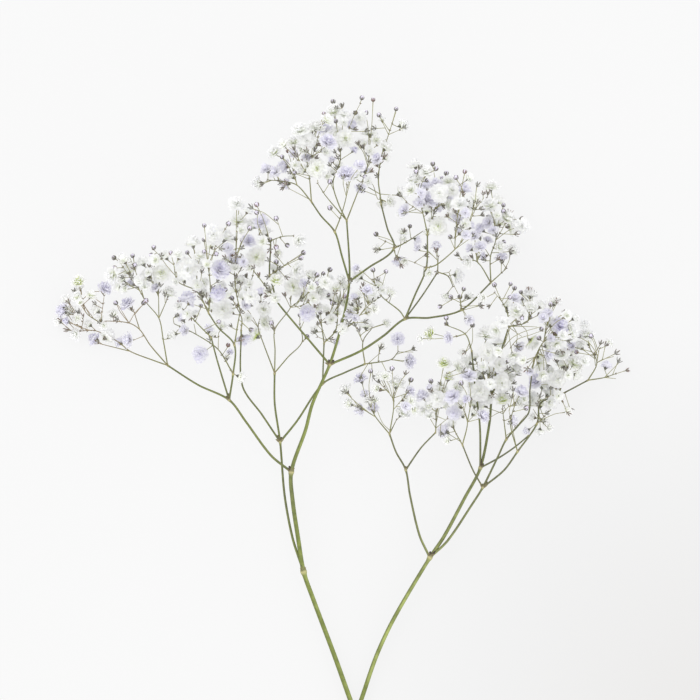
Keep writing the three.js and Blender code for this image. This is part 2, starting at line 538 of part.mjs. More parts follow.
function layFlower(owner, [kind, x, y, width, facing], sites, rise, draw) {
  const isBloom = kind === 'W' || kind === 'L';
  const small = kind === 'B' ? BUD_RADIUS : CALYX_RADIUS;
  const radius = isBloom ? (width * GRID) / 2 : small;
  const footLength = radius * (isBloom ? BLOOM_FOOT : SMALL_FOOT);
  const lookUp = facing === undefined ? draw(...FACING) : facing;
  const scatter = draw(-SCATTER, SCATTER);
  const spin = draw(0, Math.PI);
  const flat = onGrid(x, y, 0);
  const root = pickRoot(sites, flat);
  const reach = root.point.clone().setZ(0).distanceTo(flat);
  const lowest = radius * LOWEST_BLOOM;
  const isFront = lookUp >= FRONT_FACING;
  const course = isFront ? FRONT_LIFT : rise * reach + scatter;
  const flower = settle(owner, (offset) => {
    const height = Math.max(lowest, root.point.z + course + offset);
    if (height > TALLEST) {
      return null;
    }
    const centre = flat.clone().setZ(height);
    const run = centre.clone().sub(root.point);
    const axis = run.clone().normalize().addScaledVector(root.heading, LEAN);
    axis.normalize().multiplyScalar(1 - lookUp).add(new THREE.Vector3(0, 0, lookUp)).normalize();
    axis.setZ(Math.max(axis.z, LOWEST_FACING)).normalize();
    const foot = centre.clone().addScaledVector(axis, -footLength);
    const bend = root.point.clone().lerp(foot, 0.5).addScaledVector(root.heading, BOW * reach);
    const path = reach > LONG_STALK ? [root.point, bend, foot] : [root.point, foot];
    path.forEach((p) => {
      p.z = Math.max(p.z, LOWEST_STALK);
    });
    const rods = chain(owner, withoutRoot(path, STALK_FREE), STALK_RADIUS, false);
    rods.push({ owner, a: centre, b: centre, radius: radius * HEAD_ROOM });
    if (isFront) {
      const high = centre.clone().setZ(height + OPEN_HEIGHT);
      rods.push({ owner, a: centre, b: high, radius: radius * OPEN_HEART, isSpace: true });
    }
    return { centre, axis, path, rods };
  });
  placed.push(...flower.rods);
  return { kind, radius, spin, isBloom, root, ...flower };
}

function laySpray([name, from, rise, twigPlaces, flowerPlaces], index) {
  const draw = seeded(SEED + index);
  const twigs = [];
  twigPlaces.forEach((places, i) => {
    const start = onGrid(places[0][0], places[0][1], 0);
    let root = knuckle(from);
    if (i > 0) {
      const known = twigs.flat();
      const flatGap = (p) => Math.hypot(p.x - start.x, p.y - start.y);
      root = known.reduce((near, p) => (flatGap(p) < flatGap(near) ? p : near));
    }
    const points = layTwig(name, places, root, rise, i === 0);
    twigs.push(points);
    const free = i === 0 ? withoutRoot(points, ROOT_FREE) : points;
    placed.push(...chain(name, free, TWIG_RADIUS, true));
  });
  const sites = rootSites(twigs);
  let buds = 0;
  const kept = flowerPlaces.filter(([kind]) => {
    buds += kind === 'B' ? 1 : 0;
    return kind !== 'B' || buds <= BUDS_PER_SPRAY;
  });
  const flowers = kept.map((flower) => layFlower(name, flower, sites, rise, draw));
  return { name, from, twigs, flowers, draw };
}

// ---------- Solids ----------

// A ring of points round a place: count points, in the plane of u and v.
function ring(centre, u, v, radii, lifts = [0], axis = new THREE.Vector3(), turn = 0) {
  return radii.map((radius, i) => {
    const angle = turn + (2 * Math.PI * i) / radii.length;
    return centre.clone()
      .addScaledVector(u, radius * Math.cos(angle))
      .addScaledVector(v, radius * Math.sin(angle))
      .addScaledVector(axis, lifts[i % lifts.length]);
  });
}

// A closed skin over rings of points. Neighbouring rings may differ in their number of points.
// A ring of one point is a tip; a ring of more at either end is closed by a fan.
function skin(rings) {
  const vertices = [];
  const starts = rings.map((points) => {
    const start = vertices.length / 3;
    points.forEach((p) => vertices.push(p.x, p.y, p.z));
    return start;
  });
  const triangles = [];
  for (let k = 1; k < rings.length; k += 1) {
    const countA = rings[k - 1].length;
    const countB = rings[k].length;
    const a = (i) => starts[k - 1] + (i % countA);
    const b = (i) => starts[k] + (i % countB);
    const stepsA = countA > 1 ? countA : 0;
    const stepsB = countB > 1 ? countB : 0;
    let i = 0;
    let j = 0;
    while (i < stepsA || j < stepsB) {
      const nextA = i < stepsA ? (i + 0.5) / stepsA : 2;
      const nextB = j < stepsB ? (j + 0.5) / stepsB : 2;
      if (nextA <= nextB) {
        triangles.push(a(i), a(i + 1), b(j));
        i += 1;
      } else {
        triangles.push(a(i), b(j + 1), b(j));
        j += 1;
      }
    }
  }
  const last = rings.length - 1;
  for (let i = 2; i < rings[0].length; i += 1) {
    triangles.push(starts[0], starts[0] + i, starts[0] + i - 1);
  }
  for (let i = 2; i < rings[last].length; i += 1) {
    triangles.push(starts[last], starts[last] + i - 1, starts[last] + i);
  }
  return new wasm.Manifold(new wasm.Mesh({
    numProp: 3,
    vertProperties: new Float32Array(vertices),
    triVerts: new Uint32Array(triangles),
  }));
}

// Side directions carried along a path without twisting.
function sidesAlong(points) {
  let side = new THREE.Vector3(0, 0, 1);
  return points.map((p, i) => {
    const before = points[Math.max(0, i - 1)];
    const after = points[Math.min(points.length - 1, i + 1)];
    const along = after.clone().sub(before).normalize();
    side = side.clone().addScaledVector(along, -side.dot(along)).normalize();
    return { u: side, v: along.clone().cross(side) };
  });
}

function tubeRings(points, radii, sides) {
  const frames = sidesAlong(points);
  return points.map((p, i) => ring(p, frames[i].u, frames[i].v, Array(sides).fill(radii[i])));
}

// An axis of the stem, swollen at its knuckles. grow widens it for cutting its sleeve out of sprays.
function axisSolid(axis, grow) {
  const points = axisPoints(axis[2]);
  const radii = axisRadii(axis, points).map((radius) => radius + grow);
  return skin(tubeRings(points, radii, axis[0] > THICK_AXIS ? STEM_SIDES : BRANCH_SIDES));
}

// A small pointed bract, sunk into its knuckle.
function bractSolid(name, heading) {
  const base = knuckle(name);
  const angle = THREE.MathUtils.degToRad(heading);
  const out = new THREE.Vector3(Math.cos(angle), Math.sin(angle), 0.25).normalize();
  const middle = base.clone().addScaledVector(out, BRACT_LENGTH * 0.55);
  const tip = base.clone().addScaledVector(out, BRACT_LENGTH).setZ(base.z + BRACT_RISE);
  const rings = tubeRings([base, middle, tip], BRACT_RADII, TWIG_SIDES);
  rings[2] = [tip];
  return skin(rings);
}

// Petal layers above a flower's foot: each ring runs tip, notch, tip, notch round the bloom.
function bloomRings({ centre, axis, radius, spin }, u, v, draw) {
  const large = radius * 2 >= LARGE_BLOOM;
  const petals = large ? PETALS_LARGE : PETALS_SMALL;
  const layer = ({ tip, notch, tipLift, notchLift }, tipsFirst) => {
    const radii = [];
    const lifts = [];
    for (let i = 0; i < petals * 2; i += 1) {
      const isTip = (i % 2 === 0) === tipsFirst;
      radii.push(radius * (isTip ? tip * draw(0.9, 1.06) : notch * draw(0.92, 1.08)));
      lifts.push(radius * (isTip ? tipLift + draw(-0.1, 0.1) : notchLift));
    }
    return ring(centre, u, v, radii, lifts, axis, spin);
  };
  const rings = PETAL_LAYERS.map((shape, i) => layer(shape, i === 0));
  if (large) {
    const crown = Array.from({ length: petals }, () => radius * CROWN_WIDTH * draw(0.85, 1.15));
    rings.push(ring(centre, u, v, crown, [radius * CROWN_LIFT], axis, spin));
  }
  rings.push([centre.clone().addScaledVector(axis, radius * HEART_LIFT)]);
  return rings;
}

// A bud closes to a tip; a dry calyx stays open, with a hollow in its top.
function smallHeadRings({ kind, centre, axis, radius, spin }, u, v) {
  const isBud = kind === 'B';
  const radii = Array(isBud ? 4 : 5).fill(radius);
  const widest = ring(centre, u, v, radii, [radius * (isBud ? 0.1 : 0.75)], axis, spin);
  return [widest, [centre.clone().addScaledVector(axis, radius * (isBud ? 1 : 0.1))]];
}

// Rings of a stalk and its flower. A twig that ends in the flower hands in its own points first.
function flowerRings(flower, twig, draw) {
  const path = [...twig, ...flower.path.slice(twig.length > 0 ? 1 : 0)];
  const frames = sidesAlong([...path, flower.centre]);
  const count = path.length;
  const stalk = path.map((p, i) => {
    let radius = i < twig.length ? TWIG_RADIUS : STALK_RADIUS;
    if (i === count - 1) {
      radius = NECK_RADIUS;
    } else if (i === 0 && twig.length === 0) {
      radius = STALK_ROOT_RADIUS;
    }
    return ring(p, frames[i].u, frames[i].v, Array(TWIG_SIDES).fill(radius), [0], ORIGIN, flower.spin);
  });
  const u = frames[count - 1].u.clone();
  u.addScaledVector(flower.axis, -u.dot(flower.axis)).normalize();
  const v = flower.axis.clone().cross(u);
  const head = flower.isBloom ? bloomRings(flower, u, v, draw) : smallHeadRings(flower, u, v);
  return [...stalk, ...head];
}

// Twigs and flowers of a spray. Each twig runs on into the flower at its tip.
function spraySolids({ twigs, flowers, draw }) {
  const carried = twigs.map((points, t) => {
    return flowers.find((flower) => flower.root.twig === t && flower.root.isTip);
  });
  const bare = twigs.filter((points, t) => !carried[t]);
  return [
    ...bare.map((points) => skin(tubeRings(points, points.map(() => TWIG_RADIUS), TWIG_SIDES))),
    ...flowers.map((flower) => {
      const t = carried.indexOf(flower);
      return skin(flowerRings(flower, t >= 0 ? twigs[t] : [], draw));
    }),
  ];
}

const join = (solids) => solids.reduce((whole, solid) => whole.add(solid));

// The space below the surface. What lies on the surface is flat where it meets it.
function belowSurface() {
  const corners = [[-1, -1], [1, -1], [1, 1], [-1, 1]];
  const level = (z) => corners.map(([x, y]) => {
    return new THREE.Vector3(x * SURFACE_REACH, y * SURFACE_REACH, z);
  });
  return skin([level(-SURFACE_DEPTH), level(0)]);
}

function largestPiece(solid) {
  const pieces = solid.decompose();
  return pieces.reduce((most, piece) => (piece.volume() > most.volume() ? piece : most));
}

function toMesh(name, solid, material) {
  const { vertProperties, triVerts, numProp } = solid.getMesh();
  const count = vertProperties.length / numProp;
  const positions = new Float32Array(count * 3);
  for (let i = 0; i < count; i += 1) {
    positions.set(vertProperties.subarray(i * numProp, i * numProp + 3), i * 3);
  }
  const geometry = new THREE.BufferGeometry();
  geometry.setAttribute('position', new THREE.BufferAttribute(positions, 3));
  geometry.setIndex(new THREE.BufferAttribute(triVerts, 1));
  const mesh = new THREE.Mesh(geometry, material);
  mesh.name = name;
  return mesh;
}

// ---------- The plant ----------

const stemGreen = new THREE.MeshStandardMaterial({ color: 0x98a262, roughness: 0.6, metalness: 0 });
const petalWhite = new THREE.MeshStandardMaterial({ color: 0xe9e8ee, roughness: 0.8, metalness: 0 });
const petalLilac = new THREE.MeshStandardMaterial({ color: 0xc3bfe0, roughness: 0.8, metalness: 0 });

const plant = new THREE.Group();
plant.name = 'gypsophila_stem';

AXES.forEach((axis) => {
  placed.push(...chain('stem', axisPoints(axis[2]), axis[0], true));
});
const sprays = SPRAYS.map(laySpray);

const surface = belowSurface();
const bracts = BRACTS.flatMap(([name, headings]) => headings.map((h) => bractSolid(name, h)));
const stem = join([...AXES.map((axis) => axisSolid(axis, 0)), ...bracts]).subtract(surface);
plant.add(toMesh('stem', largestPiece(stem), stemGreen));

const clearance = join([...AXES.map((axis) => axisSolid(axis, SLEEVE)), ...bracts]);
const rootSleeves = {};
sprays.forEach((spray) => {
  const earlier = rootSleeves[spray.from] || [];
  let whole = join(spraySolids(spray)).subtract(clearance).subtract(surface);
  earlier.forEach((other) => {
    whole = whole.subtract(other);
  });
  const [start, next] = spray.twigs[0];
  const end = next.clone().sub(start).normalize().multiplyScalar(ROOT_FREE + 1).add(start);
  const sleeve = skin(tubeRings([start, end], [ROOT_SLEEVE, ROOT_SLEEVE], TWIG_SIDES));
  rootSleeves[spray.from] = [...earlier, sleeve];
  const lilac = spray.flowers.filter((f) => f.kind === 'L').length;
  const white = spray.flowers.filter((f) => f.kind === 'W').length;
  const petals = lilac > white ? petalLilac : petalWhite;
  plant.add(toMesh(`spray_${spray.name}`, largestPiece(whole), petals));
});

export default plant;
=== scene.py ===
"""A cut stem of double gypsophila, lying on a pale floor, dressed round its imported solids."""
import math

import bpy
import numpy as np
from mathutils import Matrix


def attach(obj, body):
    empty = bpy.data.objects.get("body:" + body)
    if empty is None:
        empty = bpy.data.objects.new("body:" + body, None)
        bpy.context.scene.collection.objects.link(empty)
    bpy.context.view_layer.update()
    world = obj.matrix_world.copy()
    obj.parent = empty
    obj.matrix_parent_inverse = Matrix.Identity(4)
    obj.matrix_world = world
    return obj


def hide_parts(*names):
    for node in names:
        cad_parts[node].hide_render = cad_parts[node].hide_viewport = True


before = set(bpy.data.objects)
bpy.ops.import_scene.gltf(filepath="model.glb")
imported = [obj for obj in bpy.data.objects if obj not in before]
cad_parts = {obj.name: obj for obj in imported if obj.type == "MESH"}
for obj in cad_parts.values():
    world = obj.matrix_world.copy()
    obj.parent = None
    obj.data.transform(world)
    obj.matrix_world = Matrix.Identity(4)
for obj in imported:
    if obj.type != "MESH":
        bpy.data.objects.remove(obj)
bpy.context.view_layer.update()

# ---------- Sizes, the same as the solids', in mm ----------

MM = 0.001
GRID = 0.5  # one step of the drawing grid that places are written on, in mm
GRID_CENTRE_X = 343.4  # grid place of the part's origin; grid y runs down
GRID_CENTRE_Y = 446.3
SEED = 20
GAP = 0.35  # clear space kept between neighbouring nodes
TWIG_RADIUS = 0.6
STALK_RADIUS = 0.42  # of a flower's own stalk
BUDS_PER_SPRAY = 2  # the most buds that one spray keeps in the solids
BUD_RADIUS = 1.25
CALYX_RADIUS = 1.2
ROOT_FREE = 3.4  # length at a spray's root that may lie close to what it grows from
STALK_FREE = 1.8  # the same at a flower stalk's root
MOST_FREE = 0.9  # the most of a path's first piece that may do so
SITE_STEP = 1.8  # spacing of the places where flower stalks leave a twig
LEAST_REACH = 0.01
TURN_COST = 0.7  # how much a stalk that turns back costs, as a part of its reach
SIDE_COST = 1  # reach that a flower gives up to grow from a twig's tip
TAKEN_COST = 4  # the same to leave the twig at a place of its own
FACING = [0.05, 0.45]  # how far a flower looks up where its place doesn't say
FRONT_FACING = 0.8  # a flower that looks up this far lies in front: nothing covers its heart
FRONT_LIFT = 5  # height of such a flower over the place where its stalk starts
OPEN_HEART = 0.55  # width of its uncovered middle, as a part of its own
OPEN_HEIGHT = 60  # how far above it that is kept free
SCATTER = 3.5  # flowers of a spray lie this much higher or lower than it rises
LEAN = 0.35  # how much a flower leans along its twig
LONG_STALK = 11  # stalks that reach further than this are bowed
BOW = 0.12  # of a long stalk, as a part of its reach
BLOOM_FOOT = 0.85  # distance from a bloom's foot to its centre, in radii
SMALL_FOOT = 0.9  # the same for a bud or calyx
HEAD_ROOM = 1.02  # room that a flower takes, in radii
OWN_GAP = 0.1  # clear space wanted between flowers of one spray
TRIAL_ROOM = 0.1  # room wanted on top of GAP in the search for a clear place
TRIAL_STEP = 1.5  # height step of that search
TRIAL_STEPS = 22  # such steps up and down
TWIG_ARCH = 1.2  # how far a twig arches above its straight course
LOWEST_TWIG = 1.2  # least height of a twig's middle line
LOWEST_STALK = 0.92  # the same for a flower's stalk
LOWEST_BLOOM = 0.62  # centre height of a bloom that lies on the surface, in radii
LOWEST_FACING = -0.25  # least upward part of the direction that a flower faces
TALLEST = 72  # greatest height of a bloom's centre
STRAIGHT = 1e-9  # squared lengths below this count as nothing
MOST_RODS = 6000

# Fine twigs and flowers that only this model has.
LOWEST_FINE_TWIG = 1.0
FINE_RISE = (-0.25, 0.35)  # least and greatest rise of a fine twig
CROSSED_RADII, CROSSED_ROOM = 0.9, 0.3  # a stem this near crosses a fine bloom: radii plus mm
UNDER_RADII = 0.8  # how far under that stem the bloom's centre then lies

# ---------- The tables, written as text ----------


def numbers(text):
    return [float(v) for v in text.split(",")]


def named(text):
    """Rows of a name and its numbers, from items such as l1=65,135."""
    rows = (item.split("=") for item in text.split())
    return [(name, numbers(values)) for name, values in rows]


def path_of(text):
    return [numbers(place) for place in text.split("|")]


def axis_of(text):
    radius, widths, *places = text.split()
    return float(radius), numbers(widths), [numbers(p) if "," in p else p for p in places]


def spray_of(text):
    name, start, rise, *items = text.split()
    twigs = [path_of(item) for item in items if "|" in item]
    flowers = [(item[0], numbers(item[1:])) for item in items if "|" not in item]
    return name, start, float(rise), twigs, flowers


# Knuckles of the stem: grid x, grid y, height in mm.
KNUCKLES = dict(named("""
    cut=362,796,1 fork=356,716,3 l1=303.5,572,9 l2=291.2,472,16 l3=280,442,11 l4=229,400,19
    l5=329.7,364.5,29 l6=274.5,373,19 l7=324,343,18 l8=365,364,22 l9=167.3,365.4,15 l10=211,337,26
    l11=234.4,345,29 l12=349.4,281.5,38 l13=346.7,220.6,33 l14=334.8,232,42 l15=311.5,202,40
    l18=393.7,248.7,29 l19=426.2,268,37 l22=405,319,31 l23=437.7,272,25 l25=461.4,310,26
    l26=491,282.5,21 l33=322.5,384,17 l42=208.5,313,33 l48=276.7,300.6,39 l49=270.6,249.6,36
    l50=269.6,275.7,37.5 l52=381,204,27 l54=427.4,234.2,40 l55=241,330,21 l56=233,374,24
    l57=340,331,33 r1=430,558,10 r2=405.8,470,17 r3=480.6,468,12 r4=483,487.5,17 r5=389.5,434,19
    r6=435.7,432.5,23 r7=462.5,445,26 r8=506.4,439.5,22 r9=517.6,451.7,25 r10=537,424,22
    r11=492,395,19 r12=471.7,350.5,29 r13=508.8,326.5,27 r14=533.8,360.4,28 r15=558.3,396,15
    r16=588.5,380.3,11 r17=529,435.5,23.2
"""))

# Axes of the stem, each up to its semicolon: radius in the solids, fine radii at the start,
# middle and end, then the knuckles and places on the way.
AXES = [axis_of(text) for text in """
    1.3 1.28,1.06,0.38 cut 360,756 fork 350,700 335,658 312.5,598 l1 298,538.5 292.5,500.5 l2
    305.5,430 312.5,403.6 l5 l57 347,300.6 l12 349.4,262 l13; 0.8 0.66,0.56,0.46 l1 292.5,538.5
    284.4,495 l3 274.6,403.6 l6; 0.8 0.64,0.56,0.42 l2 270.8,455.5 245.5,421.4 l4 198,385 l9; 0.6
    0.5,0.44,0.36 l3 262,415 242.2,385.5 l55; 0.65 0.56,0.48,0.4 l3 297,421 l33 345,372.5 l8; 0.5
    0.4,0.38,0.34 l33 l7; 0.55 0.47,0.42,0.35 l4 217,360 l10; 0.55 0.5,0.43,0.35 l4 l56 l11
    218.1,327.5 l42; 0.6 0.56,0.46,0.35 l5 306.6,337.3 286,313 l48 272.9,286.8 l50 l49; 0.7
    0.64,0.52,0.38 l5 360.6,351 383.6,335.8 l22 430,317.7 l25 l26; 0.55 0.52,0.45,0.36 l12
    342,256.5 l14 321,216 l15; 0.55 0.52,0.45,0.36 l12 368,268 l18 387.5,229 l52; 0.55
    0.5,0.43,0.35 l22 415,295 l19 l54; 0.5 0.4,0.38,0.34 l22 422,296 l23; 1.15 1.12,0.88,0.38 fork
    361.5,700 376.8,655.8 394.6,618 r1 444,537.2 465,498 r3 489.7,422.7 r11 499,360 r13; 0.75
    0.62,0.52,0.4 r1 419.5,535.3 410,495 r2 396,452 r5; 0.75 0.66,0.5,0.3 r1 447.8,541 472,505 r4
    498,457 r8 518,426 529,412 530,390 r14; 0.55 0.47,0.4,0.34 r2 421,448 r6; 0.5 0.42,0.39,0.34
    r4 472.9,470 r7; 0.5 0.5,0.43,0.35 r4 504,470.5 r9 r10 541,403 r15 r16; 0.6 0.55,0.46,0.37 r3
    480,426 475,385 r12; 0.55 0.46,0.42,0.36 r3 499,458 514.5,447.5 r17
""".split(";")]

# Knuckles with a pair of bracts, and the compass headings of the two.
BRACTS = named("l1=65,135 l2=50,150 l3=40,150 l5=10,160 r1=105,40 r4=125,25")

# The same for the small papery bracts that only the fine model has.
FINE_BRACTS = named("""
    l5=150,60,200 l6=120,50 l4=130,70 l9=150,80 l22=100,30 l12=160,40 l1=110,160 l2=150,60
    r2=110,60 r4=120,60 r8=110,50 l18=100,20 l19=140,60 l25=60,120 l26=60,130 r3=100,60
""")

# Sprays, each up to its semicolon: name, knuckle, rise, twigs as places with | between them, and
# flowers as kind,x,y,width,facing. W is a white bloom, L lilac, B a bud and C a dry calyx.
SPRAYS = [spray_of(text) for text in """
    far_left_low l9 -0.2 167.3,365.4|152,360|130,351.4|116.5,341|95,330.7|80,331
    130,351.4|98.2,343.4 W107,335.7,16 L93.6,338.5,13 W74.4,334,12 W69,311,12 L61.4,310.5,14
    L66,321,9;
    far_left_mid l9 0.12 167.3,365.4|150,345.2|139.5,329.6|128.8,323|106,321|99.7,322.7
    99.7,322.7|86,312.8|82,299.7 139.5,329.6|133.4,310.5 L128,340,13 L127,303.6,13 B115.4,302.8
    B143.3,302.8 W112.7,314,12 L105,288,13 W78,281.4,13 W77,296.7,12 W91,295,12 C74.4,290.7;
    left_thin l9 0.3 167.3,365.4|163,339.7|158.8,318.3|145.7,301.8|138,287 158.8,318.3|158.4,290
    158.8,318.3|166.8,300 W169,292.6,13 W161.4,272.8,18,0.85 L154.8,288,10 L131,283,10 W122,279,11
    W124,260,12 B146,300.5 B132.6,255.7 B114,257.7 B114.6,267.6 B135,265;
    left_bare l10 -0.1 211,337|203.5,330|184.4,310.3|176,305 L187.4,298,16,0.1 L209,329,11
    B200.8,305.7 B218.8,321.7;
    left_upper l42 0.15 208.5,313|197,291.5|178,281.5|174,265 197,291.5|197,262 W188,269,20,0.9
    W165,256,13 W192.8,243,15 B171,253 C179,259.7 B187.4,252.5 B154,247.5 B151.5,255;
    left_crown l42 0.5 208.5,313|210.6,290|208.1,262 L220.4,269.7,18 W214,234.5,20,0.9
    W225.7,236.8,16 B204.7,225.7 B204.3,239.8 B204.7,251.7 B216.5,254 B228.8,224 L218,293.4,14,0.8
    B225.3,289.6;
    left_inner l11 0.2 234.4,345|240.3,312.2|248.7,290|252.5,276.6 240.3,312.2|234.9,282.7|236,250
    W257,257,18,1 L238,262,14 L228,248,12 L249,241,13 L246.4,305,12 B242,240 B250,228.4
    W238.4,220.6,15 W237,203.7,14 W251,296.5,14;
    left_low l56 -0.5 233,374|218,349.5|195.9,334.4|173.7,323.7 L199.7,354.3,15,1 C172.9,334.4
    L182,318,11 B228,345 W240.5,377,12;
    left_middle l55 -0.15 241,330|241.8,319|237,307.6 W222.7,309.5,18,0.9 L242.5,339,14 B231.8,298
    B251,329.8;
    inner_low l6 -0.3 274.5,373|262,340|258,327|262,312 W255,335,14 L260.6,291.7,11 B245.5,307;
    inner_bright l6 0.3 274.5,373|275,350|274.8,329.7|290.5,307.5|290,299
    290.5,307.5|303.5,297.6|311,290 B271.4,323 L307.3,313,15,1 W293.6,287,17,0.9 W296.6,274.6,13
    W320.4,291.4,15 W325.7,282.5,13 L305,283.8,12 B301,293.7 B317,275 B328,295 B330,269.5;
    inner_short l6 -0.15 274.5,373|288,357|302,342|299.7,325 B299.7,315 B307,336.6;
    crown_left l48 0.25 276.7,300.6|254.5,272|243,258.8 W276,280,13 C236,256;
    crown_small l50 0.3 269.6,275.7|287.4,263.4 W297.3,270.3,14 B303.5,252.7 B301,258 B276.3,262;
    crown_top l49 0.4 270.6,249.6|270,241|259.8,235 270,241|282.8,236.6|293,236 L261.4,222,13
    W266,232,12 W299.6,241,13 B257,213 B257,205 B276.3,218.6 B287.4,245.4;
    middle_low l7 -0.35 324,343|321,320.5 W314.2,330,10 B320.4,312 B307,300;
    middle_zigzag l7 0.5 324,343|335.7,330|338,305 W331,319,11 B332.6,303 B344.8,296;
    middle_up l57 0.65 340,331|353,322.8|358.3,310|356,300 353,322.8|369,305 L355,318,9
    L354,297,11 L367,290,12 W375,309,10;
    middle_right l8 -0.2 365,364|362.9,342|372,328 W386.6,322.8,10 C355,325;
    lower_right l8 -0.6 365,364|391.2,359.5|398,352 W381.3,346,10 L398,339,13,1 C413.4,349
    L409.6,361,13;
    top_left l15 -0.3 311.5,202|297,185.3|282.9,181.4|268,180 297,185.3|292,165 L266,169,12
    W257.6,183,13 L284.4,166,13 W274,152,13 B288,151 W293.6,141.6,14 L293.6,154,11 C283,188;
    top_high l15 0.25 311.5,202|309.3,176|306,155 L307,157.7,11 W307,141,16,0.85 W300,130,16
    L328,142.4,15 W316.5,127,15 B324,114 B295,173;
    top_face l13 0.6 346.7,220.6|325.7,196|318,184 W317,169,18,1 B330,182;
    top_middle l13 -0.1 346.7,220.6|338.7,204.4|333,183|340.3,160|339,136 W345,138.5,17,0.9
    L354,150,9 L351,125.6,14 W333.4,111,14 W359,117,16,0.85 B335.7,121 B333,101 B362,97.6
    L324,128.6,13;
    top_near l14 0.5 334.8,232|341,216|346.3,196.8|347,186 L346.5,174,16 L360,166,12 B330,208;
    top_rest l13 -0.74 346.7,220.6|357,194|367,168|370,150 L360,188,12 W361,144,13 W370,131,15
    B366,112 B373.3,99;
    top_right l52 -0.1 381,204|380,194|378.4,180.6|380.6,160|387.4,138|392,124 380,194|368,187
    L376.7,158.5,12 W386,147,14 W403,125,13 B396.2,108.7 B379,114.8 W391,201,12 W401.4,193,13
    B365,177;
    right_low l18 -0.5 393.7,248.7|408,241|423,231 W403,232,10 B376,234 W377,249,11 L399,261,13
    B410,226;
    right_peak l54 0.35 427.4,234.2|422.8,213.5|417,192 L404.4,210.5,12 W414,180,15 W415,165,13
    L428,200,16 W426,172,13;
    right_peak_low l54 -0.25 427.4,234.2|432.8,216.6|436,205 W439,193.6,17,0.85 W438,226.5,18,1
    B432.8,163.8 B446.5,173 W449,216,9 L449.6,199,9 B442,178 L426,186,14;
    right_upper l19 0.3 426.2,268|436.6,264.8|454.8,249.5|466,236 454.8,249.5|455,231 L458,220,15
    L471,226,10 B450,237 W459.5,203.6,14 L463.4,189,14,0 W475,199,12 B464.5,172 B455.7,178
    C477,186;
    right_short l23 0.4 437.7,272|438.2,257 L436.6,246,12 L417.4,248,9;
    right_bluish l23 -0.5 437.7,272|448,276|453,286 W458,275,13 W447,297,12;
    right_far l26 0.1 491,282.5|490.5,257|495.9,240|496,226 W507.4,217,15 W522,226,16,0.85
    L481,228.8,13 W490,205,15 W491,186,14 B503.6,205 B504,241.8;
    right_far_low l26 -0.45 491,282.5|506.5,268.4 L502,257,13 W513,250,13;
    right_near l26 0.6 491,282.5|476.7,261.5|462,260 L480,247,12 C457.7,255 L474,236,11;
    right_buds l25 0.25 461.4,310|460,299 B463.7,289 B450.7,297 C479.7,305 L470,320,11;
    middle_long l22 0.5 405,319|399.6,311|381.3,296|373,280 W390,292,12 B385.9,271.5 B373,270;
    centre_right r12 0.05 471.7,350.5|465.2,334|446,325 465.2,334|450,338 W429.5,333.5,13
    W420,339,9 L448.4,338,11 B446.2,318 B472.5,325;
    low_left r5 -0.35 389.5,434|375.9,417.3|368,402 375.9,417.3|358,406 L360.6,379,13
    L359.8,409.7,12 L365,394,11 L374,409,12 W345,390,13 W348.4,403.6,12 B370.6,371;
    low_right r5 0.35 389.5,434|393.5,409.7|394,394 W396.6,383.7,15 L410,391,11 W385,376,11
    B392,368.4 C405.4,373.8;
    low_short r5 0.1 389.5,434|396.5,420 W402.7,412.8,14,0.1;
    low_centre r6 0.3 435.7,432.5|436.5,412 W437,399,17,0.85 L422.6,396,13 B431,381 W444,362.6,13
    W448.4,377,12;
    low_lilac r7 -0.15 462.5,445|453,428 L453.7,413,14,1 L444,431,13;
    low_tall r7 0.3 462.5,445|467.5,422|463,408 467.5,422|471.3,400.5 L452,396,14 L466,399,9
    L468.3,375.3,13 B461,383 L483,416,13;
    cluster_left r11 0.35 492,395|487,384|480,366 W479.7,391,18,0.9 W488.2,352,18,0.9 W486,334,16
    B497,372;
    cluster_low r11 -0.45 492,395|501,370 W502,383,18,0.9 W499,344,13 B508,361.5;
    cluster_side r8 0.1 506.4,439.5|502.7,410 W502.7,399,13 W484,404,14 B512,417;
    cluster_right r9 0.35 517.6,451.7|510.4,423.5|515,404 L521,391.3,14 L513.5,421,11 B526,408;
    edge_low r10 -0.4 537,424|544,417 W541,404,11 W550,428,9 C553,408 W568,411,10 L527,431,10;
    edge_upper r15 0.4 558.3,396|566,375 W558,379,18,0.85 W575,362.7,16 L536,381,15;
    rise_left r13 0.35 508.8,326.5|507.3,312.8|500,298 B494.3,284.8 L515,298,12 B510.4,284
    W516.5,311,15;
    rise_right r13 -0.2 508.8,326.5|527,322|533,309 W530,294,13 W532.6,342,14 L519,347,12 B521,292
    W542,305,12;
    peak_right r14 0.15 533.8,360.4|543.5,342|556,336 543.5,342|548,322 L560,326,15 L548,355,12
    W555,301,13 L547,313,12 C563.6,313 L530,372,10;
    far_right_up r16 0.35 588.5,380.3|597.3,362.7|590,348 W586.6,334.3,14 L572,345.8,10 C601,343
    C616.4,353;
    far_right r16 -0.6 588.5,380.3|605,377.6|616,374 C627.9,370.3 L607,365.5,12 C619.5,361
""".split(";")]

